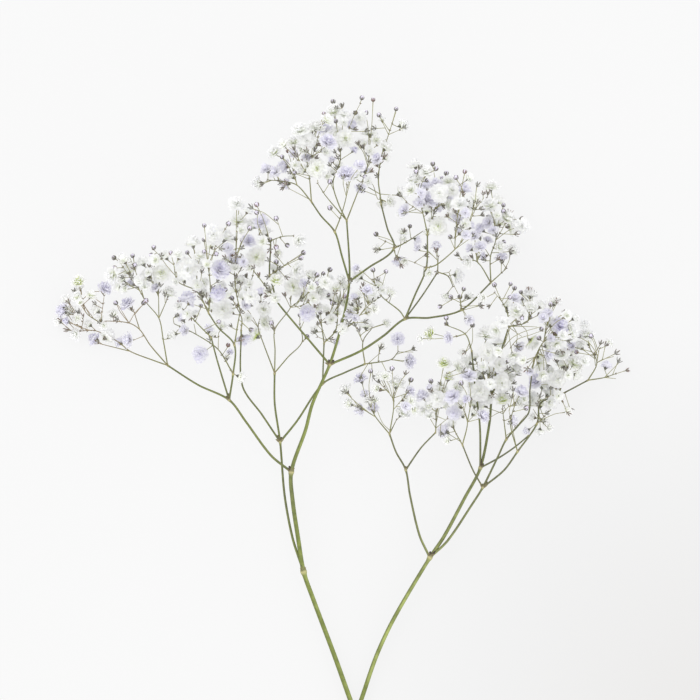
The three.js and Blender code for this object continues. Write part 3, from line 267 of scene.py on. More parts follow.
# Thin side twigs that only the fine model has. Each starts at the nearest twig of the solids.
FINE_TWIGS = [path_of(text) for text in """
    218,349.5|218.4,333 195.9,334.4|193.6,323.7 173.7,323.7|172.9,318|177.5,315 80,331|71,331
    80,331|82,317.3|72,312 128.8,323|118,305 128.8,323|134.9,312.8|143.3,304
    99.7,322.7|101.2,316.6|103.9,296 138,288|126,289.8 208.5,313|198.2,296 197,291.5|202,282
    208.5,313|189,303 240.3,320|251,331 258,327|245.5,313.5|232,300
    290.5,307.5|299.7,306|316.5,299 302,342|307,338 259.8,235|258.3,227 282.8,236.6|277.4,221
    287.4,263.4|297,258|303,254 324,343|318,337 324,343|322.7,331|317.3,325
    317.3,325|324,319|333.4,313|343,298 325,312|335,303 358.3,317.4|358.7,301 360.6,314.4|372,311
    360.6,314.4|367.5,303.7|368,294 362.9,340.4|360.6,335.8|372,328|383,324 365,364|379,354
    398,350.4|413.4,352 391.2,358.8|403.5,361.8 311.5,202|289.5,189 309.3,176|295,173
    309.3,176|298.2,161|299,156 346.3,196.8|349.4,185.3 346.3,196.8|343.3,185.3
    338.7,204.4|331.1,184.5|325.7,178 331.1,184.5|334.9,175.3|340.3,163 351,212|357,194|364,180
    381,204|377.7,199|373,185|365,178 378.4,180.6|377.5,176|380.6,163.8 370,197.4|362,190
    393.7,248.7|378.4,238 393.7,248.7|396,255|414.4,262.5|424,267 374.4,148.5|386.3,138.6
    387.4,134|396,112 387.4,134|382,121 387.4,134|399,130 422.8,213.5|407,203
    454.8,249.5|468.7,239.5 455,240|463,230 454.8,249.5|450.4,239.5 443.8,270|449,272.2|451,269.4
    449,272.2|453,283|458.3,294 490.5,257|481,242 476.7,261.5|476,244 461.5,262|457.7,258
    461.4,310|460,299|452,299.7 461.4,310|466,318 381.3,296|382.8,283.8|385.9,273
    389.5,434|382.8,423.5|377.4,411 393.5,409.7|406.5,394 393.5,409.7|392.8,399|385,387
    437,415|446,420 465.2,333.4|456,337 471.7,350.5|472.5,341|472.5,328
    491.2,417|508.8,406.6|516,404 492,395|483.6,377 492,395|493.5,369 467.5,422|462.9,407
    467.5,422|477.4,412 506.4,439.5|512.7,431|526,415 517.6,451.7|513.4,432.7|509,411
    537,424|533.3,409 537,424|536.5,399 508.8,326.5|504.2,347 508.8,326.5|510.7,347
    501.9,302|495,292.9 508.8,326.5|518,316.6 508.8,326.5|527.2,326.5|537,327
    508.8,326.5|521.8,336.5 543.7,339|552.9,332.8 543.7,339|558,339 558.3,380|567.4,368
    569.7,375|579.7,369.5 597.3,362.7|599.6,349 597.3,362.7|602.7,359.6|614,356.5
    605,377.6|619.5,363 605,377.6|616.4,378.7 143.8,298.1|139,281|133,265|130,258
    158.5,297.1|153,283|148,270 141.8,294.4|128,274|119,261 339.9,148|342,132|343,117|342,108
    339.6,144|349,128|354,116|360,104 308,167.6|314,152|318,138|321,126
    436.3,416.1|440,400|444,385|447,374 209,272.5|213,256|217,243|225,230
    418.9,199.2|418,186|416,174 177,277.4|167,266|160,256|154,250 235.8,257.3|237,240|237.5,224
    463.2,239.4|469,223|475,210|483,199 495.9,235.3|494,222|490,210|487,198
    495.9,240|505,224|508,214 434.9,208.9|445,200|453,190 454.9,238.4|458,224|462,212|465,203
    504.2,347|512,338|523,332|540,327 504.8,343.6|509,331|513,322|522,316
    510.7,347|518,339|530,335|541,331 485.8,381|493,372|495.5,364 485.4,380.8|481,372|477.5,364
    485.8,381|490,373|488,364 508.8,406.6|520,405|536,406 506,410.1|498,413|491,417
    435.9,428.4|441,424|447,419 537.2,402.6|551,396|565,392.5
""".split()]

# Flowers that only the fine model has: x,y and for blooms their width.
FINE_FLOWERS = {
    "W": """
        381.5,204,11 403,238,9 455,211,9 276,269.5,13 172.9,334.4,11 545.6,422,9 359,276,13
        65,299,12 57,321,11 112,275,14 128,270,14 142,262,13 146,276,12 178,254,11 200,256,12
        242,230,12 248,211,10 283,145,12 344,114,12 449,181,13 470,296,10 512,226,16 482,298,10
        429,274,9 610,343,10 96,310,12 117,287,12 183,279,12 186,262,12 170,336,10 145,286,11
        192,240,12 155,260,12 316,174,12 585,361,12 122,258,12 262,241,12 244,297,12 254,299,11
        76,318,11 88,324,10 198,285,12 240,280,12 228,295,11 200,266,11 253,225,13 268,290,11
        266,322,14 227,357,8 247,318,10 310,131,13 326,138,12 327,176,10 355,175,12 303,170,12
        292,176,10 377,139,11 327,120,12 452,190,13 410,190,13 449,205,12 469,178,11 500,222,13
        500,247,12 498,200,13 455,185,12 337,300,12 345,286,11 366,325,14 358,296,11 372,292,13
        311,275,13 304,296,12 375,298,11 329,279,12 379,376,11 376,388,10 412,401,12 415,409,12
        441,389,13 458,388,12 467,362,14 471,369,12 459,405,12 476,404,13 429,415,11 495,331,14
        502,322,13 500,365,14 508,372,12 490,372,13 478,376,12 473,386,13 516,368,14 513,357,13
        548,373,13 549,393,13 531,399,14 551,403,12 559,396,12 562,354,13 548,345,13 551,323,13
        563,335,12 531,307,12 571,328,12 580,346,13 577,376,12 588,342,12 572,352,13 585,325,12
        575,318,10 490,384,12 486,399,13 156,283,12 99,319,10 207,264,11 203,293,12 222,285,10
        195,314,10 264,309,13 231,312,10 336,132,13 318,143,11 303,149,12 370,150,10 339,165,10
        332,172,9 368,181,9 295,165,11 386,157,9 344,122,11 470,206,12 441,180,12 497,215,11
        346,302,11 336,288,12 331,297,12 341,279,10 356,307,13 377,285,13 383,290,10 314,298,12
        312,287,12 318,307,11 326,310,11 368,312,10 374,400,10 405,399,11 429,405,12 424,411,11
        444,405,12 459,367,13 462,352,10 474,357,11 461,415,11 452,424,11 475,413,11 447,440,11
        498,352,12 522,360,12 540,366,13 543,385,13 520,402,12 533,417,10 557,345,12 567,315,11
        525,303,12 507,305,11 564,364,13 569,375,11 493,388,11 473,396,11 540,432,11 148,272,10
        80,302,9 212,300,10 225,262,10 139,281,12 79,288,9 103,326,10 278,254,11 205,282,10
        250,268,10 236,289,12 211,245,12 178,306,10 213,335,9 222,326,11 213,309,9 382,119,9
        327,152,10 400,214,10 427,210,12 432,221,9 465,224,12 467,262,12 405,262,9 336,312,12
        343,329,12 369,300,11 368,400,9 483,366,12 574,334,11 543,376,12 540,357,11 507,386,12
        249,283,11 248,289,9 511,378,12 525,399,10 235,268,11 175,282,10 187,314,11 124,289,10
        427,233,9 275,298,12""",
    "L": """
        286,183.7,12 429.5,387.5,8 275,172,12 484,256,10 356,268,9 230,352,8 488,240,9 470,248,10
        243,262,10 465,213,11 436,183,12 421,193,12 419,203,12 488,222,12 493,230,10 466,235,12
        461,232,12 417,240,10 350,315,12 543,318,12 119,342,11 228,270,9 190,303,9 184,330,11
        332,160,9 365,170,9 438,207,11 406,406,11 551,338,9 494,378,11 231,254,9 336,342,9""",
    "B": """
        355.3,112.6 282,157 416,172 435.8,169 426.6,180.6 493,228.8 503.6,211 439.9,306.6
        446.2,323.5 460,296.7 263,216 270,240 276.3,247.3 323.4,273.7 317,283.3 327.6,314.4
        319.6,294.5 411,379.8 514.6,288 521.8,299 509.6,297.5 508,310.5 521.8,318 530.3,317.4
        550.6,304.5 540,314.4 546.8,316.7 556.7,320.6 563.6,319 555,333.6 541.4,329 539,338
        568,350.4 576.6,352 579,336 591,336""",
    "C": """
        476.4,197.4 488,193 489.8,216.6 515.8,234 510.5,251 521,219 377,249.5 379,382 440.2,383.7
        95,304 91.3,295.2 76.7,296.7 126,284 137.5,286 123,277.5 134,268 150,267 150,280 112.5,316
        99,322 68,302 66,308 67,322 75,332 81.7,316.7 474,197.5 455,211.7 447.5,216 482,215
        509,212.5 496,235 480,238 481,306 466,297.5 125,262 132,277 155,265 150,275 159,286
        158,292 68,314 78,312 61,320 67,330 117,319 131,309 97,341 130,341 239,208 234,239 193,243
        161,256 262,222 225,258 242,248 278,269 274,282 280,282 286,277 206,266 202,272 218,281
        213,288 240,270 236,277 231,262 246,262 232,285 241,284 246,276 201,293 206,296 165,295
        268,277 221,249 201,298 182,320 210,339 231,326 266,296 266,305 261,303 240,340 273,328
        285,295 208,303 232,305 241,312 337,108 340,112 324,119 342,106 300,132 355,129 370,134
        366,131 375,128 404,127 363,146 358,143 294,149 297,156 307,152 304,160 311,158 315,150
        316,158 318,145 322,151 335,152 340,150 330,165 336,168 338,158 368,154 374,156 377,165
        384,156 381,162 371,161 347,175 343,178 359,187 363,190 290,173 286,184 281,182 270,172
        275,174 262,184 401,196 390,203 419,168 405,213 423,205 431,207 434,213 443,206 463,195
        483,194 468,228 461,228 456,229 480,209 502,262 498,259 472,236 480,250 478,258 485,260
        472,257 404,231 402,239 436,251 401,265 396,258 489,306 466,318 308,283 301,300 313,291
        335,293 340,284 350,282 310,312 306,316 303,309 315,305 318,317 318,324 326,322 314,332
        342,303 346,318 350,312 349,323 355,301 352,305 359,305 362,290 366,295 363,285 372,302
        378,280 391,294 375,311 386,323 359,330 365,322 381,348 361,377 360,408 374,377 388,373
        383,379 381,390 372,399 407,392 431,391 450,410 466,401 463,372 465,352 488,416 486,363
        484,373 482,378 480,370 441,433 448,433 348,402 345,392 529,290 533,294 557,302 517,322
        566,326 568,341 556,353 562,352 557,361 606,345 595,355 518,347 495,345 508,369 526,362
        527,369 532,372 551,388 521,394 513,390 545,372 553,375 548,366 547,358 562,366 566,369
        560,375 497,356 501,361 503,375 492,396 508,400 512,397 504,404 516,403 540,396 538,405
        547,413 553,402 561,399 571,409 568,413 543,421 510,423 515,425 502,383 558,388 560,382
        238,306 251,305 514,383 501,396 506,394 518,374 242,257 254,268 259,275 80,301 103,293
        360,174 377,176 371,171 252,208 331,339 342,322 335,332 213,294 196,291 178,304 477,203
        474,209 191,318 176,316 136,281 467,203 466,219 437,272 426,255 425,272 426,248 266,285
        269,290 269,260 277,256 270,250""",
}

# Blooms with a tint of their own: x,y, how deep their blotches are, how green their hearts are.
TINTS = {(x, y): tint for x, y, *tint in map(numbers, """
    257,257,0.1,0.95 429.5,333.5,0.1,0.9 444,362.6,0.1,0.95 448.4,377,0.1,0.9 255,335,0.1,0.9
    532.6,342,0.1,0.9 541,404,0.1,0.9 78,281.4,0.1,0.8 502.7,399,0.1,0.8 276,280,0.1,0.8
    458,275,0.9,0.1 586.6,334.3,0.8,0.1 218,293.4,1,0 466,399,1,0 560,326,1,0 572,345.8,1,0
    536,381,0.8,0.1 354,150,1,0 317,169,0.1,0.9 438,226.5,0.1,0.95 345,138.5,0.2,0.8
    161.4,272.8,0.1,0.85 293.6,287,0.1,0.9 188,269,0.5,0.15 214,234.5,0.6,0.1 222.7,309.5,0.3,0.3
    479.7,391,0.3,0.4 502,383,0.3,0.4 488.2,352,0.4,0.3 558,379,0.3,0.3
""".split())}

# ---------- Seeded draws and layout, the same as the solids' ----------


def seeded(seed):
    """The solids' own generator (mulberry32)."""
    state = [seed & 0xFFFFFFFF]

    def draw(low, high):
        state[0] = (state[0] + 0x6D2B79F5) & 0xFFFFFFFF
        s = state[0]
        t = ((s ^ (s >> 15)) * (s | 1)) & 0xFFFFFFFF
        t = (t ^ ((t + (t ^ (t >> 7)) * (t | 61)) & 0xFFFFFFFF)) & 0xFFFFFFFF
        return low + (high - low) * (t ^ (t >> 14)) / 4294967296

    return draw


def vec(x, y, z):
    return np.array([x, y, z], dtype=np.float64)


def length(v):
    return math.sqrt(float(v @ v))


def unit(v):
    return v / (length(v) or 1.0)


def flat(v):
    return vec(v[0], v[1], 0)


def on_grid(grid_x, grid_y, height=0):
    return vec((grid_x - GRID_CENTRE_X) * GRID, (GRID_CENTRE_Y - grid_y) * GRID, height)


def knuckle(name):
    return on_grid(*KNUCKLES[name])


def flat_reach(points):
    reach = [0.0]
    for a, b in zip(points, points[1:]):
        reach.append(reach[-1] + math.hypot(b[0] - a[0], b[1] - a[1]))
    return reach


def axis_points(places):
    """Points of an axis. Between its knuckles it rises or falls evenly."""
    is_knuckle = [isinstance(place, str) for place in places]
    points = [knuckle(p) if k else on_grid(*p) for p, k in zip(places, is_knuckle)]
    reach = flat_reach(points)
    before = 0
    for i in range(1, len(points)):
        if is_knuckle[i]:
            for k in range(before + 1, i):
                part = (reach[k] - reach[before]) / (reach[i] - reach[before])
                points[k][2] = points[before][2] + (points[i][2] - points[before][2]) * part
            before = i
    return points


def distances(a, b, c, d):
    """Shortest distances between the straight piece a-b and each of the pieces c-d."""
    u, v, w = b - a, d - c, a - c
    uu = float(u @ u)
    vv = np.einsum("ij,ij->i", v, v)
    uv = v @ u
    uw = w @ u
    vw = np.einsum("ij,ij->i", v, w)
    spread = uu * vv - uv * uv
    safe = np.where(spread > STRAIGHT, spread, 1.0)
    s = np.where(spread > STRAIGHT, np.clip((uv * vw - vv * uw) / safe, 0, 1), 0.0)
    t = np.where(vv > STRAIGHT, np.clip((uv * s + vw) / np.maximum(vv, STRAIGHT), 0, 1), 0.0)
    s = np.clip((uv * t - uw) / uu, 0, 1) if uu > STRAIGHT else np.zeros(len(c))
    gap = w + u * s[:, None] - v * t[:, None]
    return np.sqrt(np.einsum("ij,ij->i", gap, gap))


class Placed:
    """Everything placed so far, as round-ended rods."""

    def __init__(self):
        self.count = 0
        self.a, self.b = np.zeros((2, MOST_RODS, 3))
        self.radius = np.zeros(MOST_RODS)
        self.owner = np.empty(MOST_RODS, dtype=object)
        self.is_twig, self.is_space = np.zeros((2, MOST_RODS), dtype=bool)

    def add(self, rods):
        for owner, a, b, radius, kind in rods:
            n = self.count
            self.a[n], self.b[n], self.radius[n] = a, b, radius
            self.owner[n] = owner
            self.is_twig[n], self.is_space[n] = kind == "twig", kind == "space"
            self.count = n + 1

    def is_clear(self, rods, leniency):
        """Leniency 1 ignores rods of the same owner, and 2 also what is kept free."""
        n = self.count
        for owner, a, b, radius, kind in rods:
            own = self.owner[:n] == owner
            if leniency > 0 or kind == "twig":
                looked_at = ~own
            else:
                looked_at = ~(own & self.is_twig[:n])
            if leniency > 1:
                looked_at &= ~self.is_space[:n] & (kind != "space")
            room = radius + self.radius[:n] + np.where(own, OWN_GAP, GAP + TRIAL_ROOM)
            apart = distances(a, b, self.a[:n], self.b[:n])
            if np.any(looked_at & (apart < room)):
                return False
        return True


PLACED = Placed()
OFFSETS = [0.0] + [side * step * TRIAL_STEP
                   for step in range(1, TRIAL_STEPS + 1) for side in (1, -1)]


def chain(owner, points, radius, kind):
    return [(owner, a, b, radius, kind) for a, b in zip(points, points[1:])]


def settle(shape_at):
    """The first height offset whose shape clears the rest."""
    for leniency in (0, 1, 2):
        for offset in OFFSETS:
            trial = shape_at(offset)
            if trial and PLACED.is_clear(trial["rods"], leniency):
                return trial
    return None


def without_root(points, free):
    step = points[1] - points[0]
    start = points[0] + step * min(MOST_FREE, free / length(step))
    return [start, *points[1:]]


def lay_twig(owner, places, root, rise, is_first):
    level = [on_grid(x, y) for x, y in places]
    reach = flat_reach(level)

    def shape_at(offset):
        points = []
        for p, r in zip(level, reach):
            part = r / reach[-1]
            arch = TWIG_ARCH * math.sin(math.pi * part)
            height = root[2] + rise * r + offset * part + arch
            points.append(vec(p[0], p[1], max(LOWEST_TWIG, height)))
        points[0] = root.copy()
        if points[-1][2] > TALLEST:
            return None
        free = without_root(points, ROOT_FREE) if is_first else points
        return {"points": points, "rods": chain(owner, free, TWIG_RADIUS, "twig")}

    shape = settle(shape_at)
    PLACED.add(shape["rods"])
    return shape["points"]


def root_sites(twigs):
    """Places along some twigs that flower stalks may leave from."""
    sites = []
    for points in twigs:
        for i in range(1, len(points)):
            run = points[i] - points[i - 1]
            heading = unit(flat(run))
            steps = max(1, math.floor(length(run) / SITE_STEP))
            for k in range(1, steps + 1):
                sites.append({
                    "point": points[i - 1] + run * (k / steps),
                    "heading": heading,
                    "is_tip": i == len(points) - 1 and k == steps,
                    "taken": 0,
                })
    return sites


def off_site(site, place):
    """Level distance between a site and a place."""
    return length(flat(site["point"]) - place)


def pick_root(sites, place):
    """The site that a stalk to a place reaches most easily."""
    best, least = None, 0.0
    for site in sites:
        if site["is_tip"] and site["taken"] > 0:
            continue
        away = flat(place - site["point"])
        reach = max(length(away), LEAST_REACH)
        turn = float(away @ site["heading"]) / reach
        turning = 1 + TURN_COST - TURN_COST * turn
        leaving = 0 if site["is_tip"] else SIDE_COST
        cost = reach * turning + leaving + TAKEN_COST * site["taken"]
        if best is None or cost < least:
            best, least = site, cost
    best["taken"] += 1
    return best


def lay_flower(spray, flower, lid_at=None):
    """Adds a flower to a spray. A lid tells how high its centre may lie at its place."""
    kind, (x, y, *more) = flower
    is_bloom = kind in "WL"
    radius = more[0] * GRID / 2 if is_bloom else BUD_RADIUS if kind == "B" else CALYX_RADIUS
    draw, owner = spray["draw"], spray["name"]
    look_up = more[1] if len(more) > 1 else draw(*FACING)
    scatter = draw(-SCATTER, SCATTER)
    spin = draw(0, math.pi)
    place = on_grid(x, y)
    root = pick_root(spray["sites"], place)
    start, heading = root["point"], root["heading"]
    reach = off_site(root, place)
    lowest = radius * LOWEST_BLOOM
    foot_length = (BLOOM_FOOT if is_bloom else SMALL_FOOT) * radius

    is_front = look_up >= FRONT_FACING
    course = FRONT_LIFT if is_front else spray["rise"] * reach + scatter
    lid = lid_at(place, radius) if lid_at else TALLEST

    def shape_at(offset):
        height = max(lowest, min(lid, start[2] + course) + offset)
        if height > TALLEST:
            return None
        centre = vec(place[0], place[1], height)
        axis = unit(unit(centre - start) + LEAN * heading)
        axis = unit(axis * (1 - look_up) + vec(0, 0, look_up))
        axis = unit(vec(axis[0], axis[1], max(axis[2], LOWEST_FACING)))
        foot = centre - axis * foot_length
        bend = (start + foot) * 0.5 + heading * (BOW * reach)
        path = [start.copy(), *([bend] if reach > LONG_STALK else []), foot]
        for p in path:
            p[2] = max(p[2], LOWEST_STALK)
        rods = chain(owner, without_root(path, STALK_FREE), STALK_RADIUS, "stalk")
        rods.append((owner, centre, centre, radius * HEAD_ROOM, "head"))
        if is_front:
            high = centre + vec(0, 0, OPEN_HEIGHT)
            rods.append((owner, centre, high, radius * OPEN_HEART, "space"))
        return {"centre": centre, "axis": axis, "path": path, "rods": rods}

    shape = settle(shape_at) or shape_at(0.0)
    PLACED.add(shape["rods"])
    spray["flowers"].append({**shape, "kind": kind, "radius": radius, "spin": spin,
                             "is_bloom": is_bloom, "root": root, "place": (x, y)})


def lay_spray(index, name, start_knuckle, rise, twig_places, flower_places):
    """A spray with the twigs and flowers of the solids. The buds that they leave out are spare."""
    twigs = []
    for i, places in enumerate(twig_places):
        start = on_grid(*places[0])
        root = knuckle(start_knuckle)
        if i > 0:
            known = [p for points in twigs for p in points]
            root = min(known, key=lambda p: math.hypot(p[0] - start[0], p[1] - start[1]))
        twigs.append(lay_twig(name, places, root, rise, i == 0))
    spray = {"name": name, "rise": rise, "twigs": twigs, "sites": root_sites(twigs),
             "draw": seeded(SEED + index), "flowers": [], "spare": [], "fine": []}
    buds = 0
    for flower in flower_places:
        buds += flower[0] == "B"
        if flower[0] == "B" and buds > BUDS_PER_SPRAY:
            spray["spare"].append(flower)
        else:
            lay_flower(spray, flower)
    return spray


def nearest_spray(place):
    return min(sprays, key=lambda spray: min(off_site(site, place) for site in spray["sites"]))


def lay_fine_twig(places):
    start = on_grid(*places[0])
    spray = nearest_spray(start)
    root = min(spray["sites"], key=lambda site: off_site(site, start))["point"]
    level = [on_grid(x, y) for x, y in places[1:]]
    reach = flat_reach([root, *level])
    rise = max(FINE_RISE[0], min(FINE_RISE[1], spray["rise"]))
    heights = [max(LOWEST_FINE_TWIG, root[2] + rise * r) for r in reach[1:]]
    points = [root, *(vec(p[0], p[1], height) for p, height in zip(level, heights))]
    spray["fine"].append(points)
    spray["sites"] += root_sites([points])


def underside(points, radius):
    """Places along a path about a millimetre apart: x, y and the height of its underside."""
    return [a + (b - a) * part - vec(0, 0, radius)
            for a, b in zip(points, points[1:])
            for part in np.linspace(0, 1, max(2, math.ceil(length(b - a))))]


def under_stems(place, radius):
    """How high a bloom's centre may lie, so that the stems that cross it stay in front."""
    gap = np.hypot(carriers[:, 0] - place[0], carriers[:, 1] - place[1])
    crossing = carriers[gap < radius * CROSSED_RADII + CROSSED_ROOM]
    return crossing[:, 2].min() - UNDER_RADII * radius if len(crossing) else TALLEST


for radius, _, places in AXES:
    PLACED.add(chain("stem", axis_points(places), radius, "twig"))
sprays = [lay_spray(index, *spray) for index, spray in enumerate(SPRAYS)]

# What the solids leave out: thin side twigs first, then buds and small blooms.
for places in FINE_TWIGS:
    lay_fine_twig(places)
for spray in sprays:
    for flower in spray["spare"]:
        lay_flower(spray, flower)
carriers = [row for radius, _, places in AXES for row in underside(axis_points(places), radius)]
carriers += [row for spray in sprays for points in spray["twigs"]
             for row in underside(points[:-1], TWIG_RADIUS)]
carriers = np.array(carriers)
for kind, text in FINE_FLOWERS.items():
    for flower in map(numbers, text.split()):
        spray = nearest_spray(on_grid(*flower[:2]))
        lay_flower(spray, (kind, flower), under_stems if kind in "WL" else None)

# ---------- Mesh building, in mm ----------

LOWEST_POINT = 0.02
TINY = 1e-6
CURVE_PULL = 0.9  # how strongly a path's curve follows the course of its neighbours


def bell(off, reach):
    return np.exp(-((off / reach) ** 2))


def around(u, v, angle):
    return u * math.cos(angle) + v * math.sin(angle)


def add_object(name, data):
    made = bpy.data.objects.new(name, data)
    bpy.context.scene.collection.objects.link(made)
    return made


class Soup:
    """Vertices, faces and named numbers for each vertex, gathered into one mesh."""

    def __init__(self, names):
        self.points, self.faces, self.count = [], [], 0
        self.values = {name: [] for name in names}

    def add(self, points, faces, **values):
        points = np.asarray(points, dtype=np.float64).reshape(-1, 3)
        self.points.append(points)
        self.faces += [tuple(i + self.count for i in face) for face in faces]
        for name, gathered in self.values.items():
            gathered.append(np.broadcast_to(values.get(name, 0.0), (len(points),)))
        self.count += len(points)

    def make(self, name, material):
        points = np.concatenate(self.points)
        points[:, 2] = np.maximum(points[:, 2], LOWEST_POINT)
        mesh = bpy.data.meshes.new(name)
        mesh.from_pydata((points * MM).tolist(), [], self.faces)
        for attribute, values in self.values.items():
            layer = mesh.attributes.new(attribute, "FLOAT", "POINT")
            layer.data.foreach_set("value", np.concatenate(values).astype("f"))
        mesh.polygons.foreach_set("use_smooth", [True] * len(mesh.polygons))
        mesh.materials.append(material)
        piece = add_object(name, mesh)
        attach(piece, "root")
        return piece


def strips(rows, columns, is_ring=False):
    """Faces between rows of points. The rows of a ring go on round."""
    return [(r * columns + i, r * columns + (i + 1) % columns,
             (r + 1) * columns + (i + 1) % columns, (r + 1) * columns + i)
            for r in range(rows - 1) for i in range(columns if is_ring else columns - 1)]


def capped(rings, sides):
    """Faces of a chain of rings and of its two end points, which come after the rings."""
    top, low, high = (rings - 1) * sides, rings * sides, rings * sides + 1
    faces = strips(rings, sides, True)
    for i in range(sides):
        j = (i + 1) % sides
        faces += [(low, j, i), (high, top + i, top + j)]
    return faces


def smooth_path(points, spacing):
    """Points along a smooth curve through the given ones, and the distance to each."""
    points = np.array(points)
    ends = np.array([2 * points[0] - points[1], *points, 2 * points[-1] - points[-2]])
    path, at_given, travelled = [points[0]], [0.0], 0.0
    for i in range(1, len(ends) - 2):
        before, a, b, after = ends[i - 1:i + 3]
        chord = length(b - a)
        out_a = (b - before) * chord / max(length(b - before), TINY) * CURVE_PULL
        out_b = (after - a) * chord / max(length(after - a), TINY) * CURVE_PULL
        steps = max(2, round(chord / spacing))
        for k in range(1, steps + 1):
            t = k / steps
            p = ((2 * t**3 - 3 * t**2 + 1) * a + (t**3 - 2 * t**2 + t) * out_a
                 + (-2 * t**3 + 3 * t**2) * b + (t**3 - t**2) * out_b)
            travelled += length(p - path[-1])
            path.append(p)
        at_given.append(travelled)
    along = np.concatenate([[0.0], np.cumsum([length(q - p) for p, q in zip(path, path[1:])])])
    return np.array(path), along, at_given


def path_frames(path):
    """Two directions across a path at each of its points, without a twist."""
    side = vec(0, 0, 1)
    sides, crosses = [], []
    for i in range(len(path)):
        along = unit(path[min(len(path) - 1, i + 1)] - path[max(0, i - 1)])
        side = side - along * float(side @ along)
        side = unit(side if length(side) > 1e-3 else np.cross(along, vec(1, 0.3, 0)))
        sides.append(side)
        crosses.append(np.cross(along, side))
    return np.array(sides), np.array(crosses)


HIGHLIGHT_ANGLE = 0.9  # where the painted highlight runs round a tube, as a lighter band on one side


def tube(soup, path, radii, sides, highlight_strength=1.0, **values):
    """A round tube with pointed ends and a painted highlight down one side. A value for each path
    point is spread round its ring.
    """
    us, vs = path_frames(path)
    angles = np.arange(sides) * 2 * math.pi / sides
    circle = us[:, None, :] * np.cos(angles)[None, :, None]
    circle = circle + vs[:, None, :] * np.sin(angles)[None, :, None]
    rings = path[:, None, :] + circle * np.asarray(radii)[:, None, None]
    count = len(path)
    spread = {}
    for name, value in values.items():
        value = np.repeat(np.broadcast_to(value, (count,)), sides)
        spread[name] = np.concatenate([value, [value[0], value[-1]]])
    # Painted highlight: each ring is lighter on one side, where light falls on a round stem.
    highlight_band = np.outer(np.broadcast_to(highlight_strength, (count,)), 0.5 + 0.5 * np.cos(angles - HIGHLIGHT_ANGLE))
    spread["rib"] = np.concatenate([highlight_band.ravel(), [0.5, 0.5]])
    points = np.concatenate([rings.reshape(-1, 3), [path[0], path[-1]]])
    soup.add(points, capped(count, sides), **spread)


def ring(centre, u, v, width):
    return [centre + around(u, v, i * 2 * math.pi / RING_SIDES) * width
            for i in range(RING_SIDES)]


def local_frame(axis, spin):
    """Two directions across an axis, turned round it by spin."""
    u = np.cross(axis, vec(0.31, 0.17, 0.93))
    u = unit(u if length(u) > 0.05 else np.cross(axis, vec(1, 0, 0)))
    v = np.cross(axis, u)
    c, s = math.cos(spin), math.sin(spin)
    return u * c + v * s, v * c - u * s


# ---------- Flowers ----------

# A petal is a strip of rows from its root to its tip: T runs along it and S across.
ROWS, COLUMNS = 6, 5
PETAL_FACES = strips(ROWS, COLUMNS)
T = np.linspace(0, 1, ROWS)[None, :, None]
S = np.linspace(-1, 1, COLUMNS)[None, None, :]
WIDTH_ALONG = np.interp(T, [0, 0.3, 0.6, 0.85, 1], [0.16, 0.5, 0.92, 1.0, 0.74])

# Whorls of petals from the outermost in, in bloom radii: petals, root place, middle place,
# tip place (each from the axis, and above the centre), half width.
WHORLS = [
    (8, (0.12, -0.30), (0.62, -0.30), (1.00, -0.12), 0.38),
    (8, (0.10, -0.26), (0.52, -0.10), (0.92, 0.14), 0.36),
    (8, (0.09, -0.22), (0.36, 0.12), (0.70, 0.40), 0.32),
    (7, (0.07, -0.18), (0.22, 0.30), (0.44, 0.60), 0.27),
    (5, (0.04, -0.10), (0.08, 0.38), (0.22, 0.70), 0.22),
    (4, (0.01, 0.10), (0.0, 0.40), (0.03, 0.68), 0.16),
]
SMALL_WHORLS = [
    (7, (0.12, -0.30), (0.60, -0.28), (1.00, -0.06), 0.40),
    (7, (0.11, -0.26), (0.48, -0.04), (0.84, 0.26), 0.36),
    (6, (0.08, -0.22), (0.24, 0.26), (0.50, 0.58), 0.30),
    (5, (0.02, 0.06), (0.02, 0.36), (0.08, 0.66), 0.20),
]
HEART_WHORL = (5, (0.03, 0.1), (0.16, 0.34), (0.2, 0.52), 0.15)  # of a bloom with a green heart
GREEN_HEART = 0.5  # least glow of such a bloom
# The heart whorl takes the colours near petal roots: greener, and darker with painted shade.
HEART_DEPTH = 0.3  # how deep in the bloom that whorl looks, against the others
LARGE_BLOOM = 3.1  # least radius of a bloom with the full set of whorls
FULLNESS = 1.26  # how much wider the petals spread than the bloom's nominal width
FACE_FULLNESS = 1.12  # the same for a bloom that is seen face on
FACE_ON = 0.8  # least upward part of such a bloom's direction
RAGGED = (-0.14, 0.06)  # how much longer or shorter a petal is at places along its edge
NOTCH = 0.10  # in the middle of a petal's edge
RUFFLE = 0.055

SEPALS = 5
RING_SIDES = 10
CUP_PROFILE = ((0.0, 0.16), (0.18, 0.34), (0.45, 0.46), (0.7, 0.5))  # height, width of its rings
CUP_TALLEST, CUP_SHORTEST, CUP_WIDTH = 2.9, 1.9, 0.42
CUP_OF_BLOOM = 0.7  # height of a calyx under a bloom, in radii
CUP_FOOT, DRY_CUP_FOOT = 0.88, 1.0  # how far under a flower's centre its calyx begins, in radii
BUD_RINGS = 6
BUD_LENGTH, BUD_WIDTH, BUD_TIP = 1.05, 0.9, 1.12  # in radii
SEPAL_LENGTH, SEPAL_EDGE, SEPAL_RIDGE = 1.14, 1.06, 1.14  # of a bud's sepals, in radii
SPREAD_SEPAL = ((0.0, 0.12), (0.3, 0.2), (0.6, 0.32), (0.85, 0.26), (1.0, 0.04))  # part, width
CLOSED_SEPAL = (0.16, 0.36, 0.42, 0.38, 0.26, 0.04)  # widths from foot to tip
CLOSED_REACH = 2.55  # angle from a bud's foot to the tips of its sepals
CLOSED_START = 0.12  # the same to their feet
BLADE = ((0, 0.7), (0.25, 1.0), (0.55, 0.7), (0.82, 0.35), (1.0, 0.03))  # part, width
BLADE_FOLD = ((-1, 0.25), (0, -0.12), (1, 0.25))  # place across a bract, height of its fold


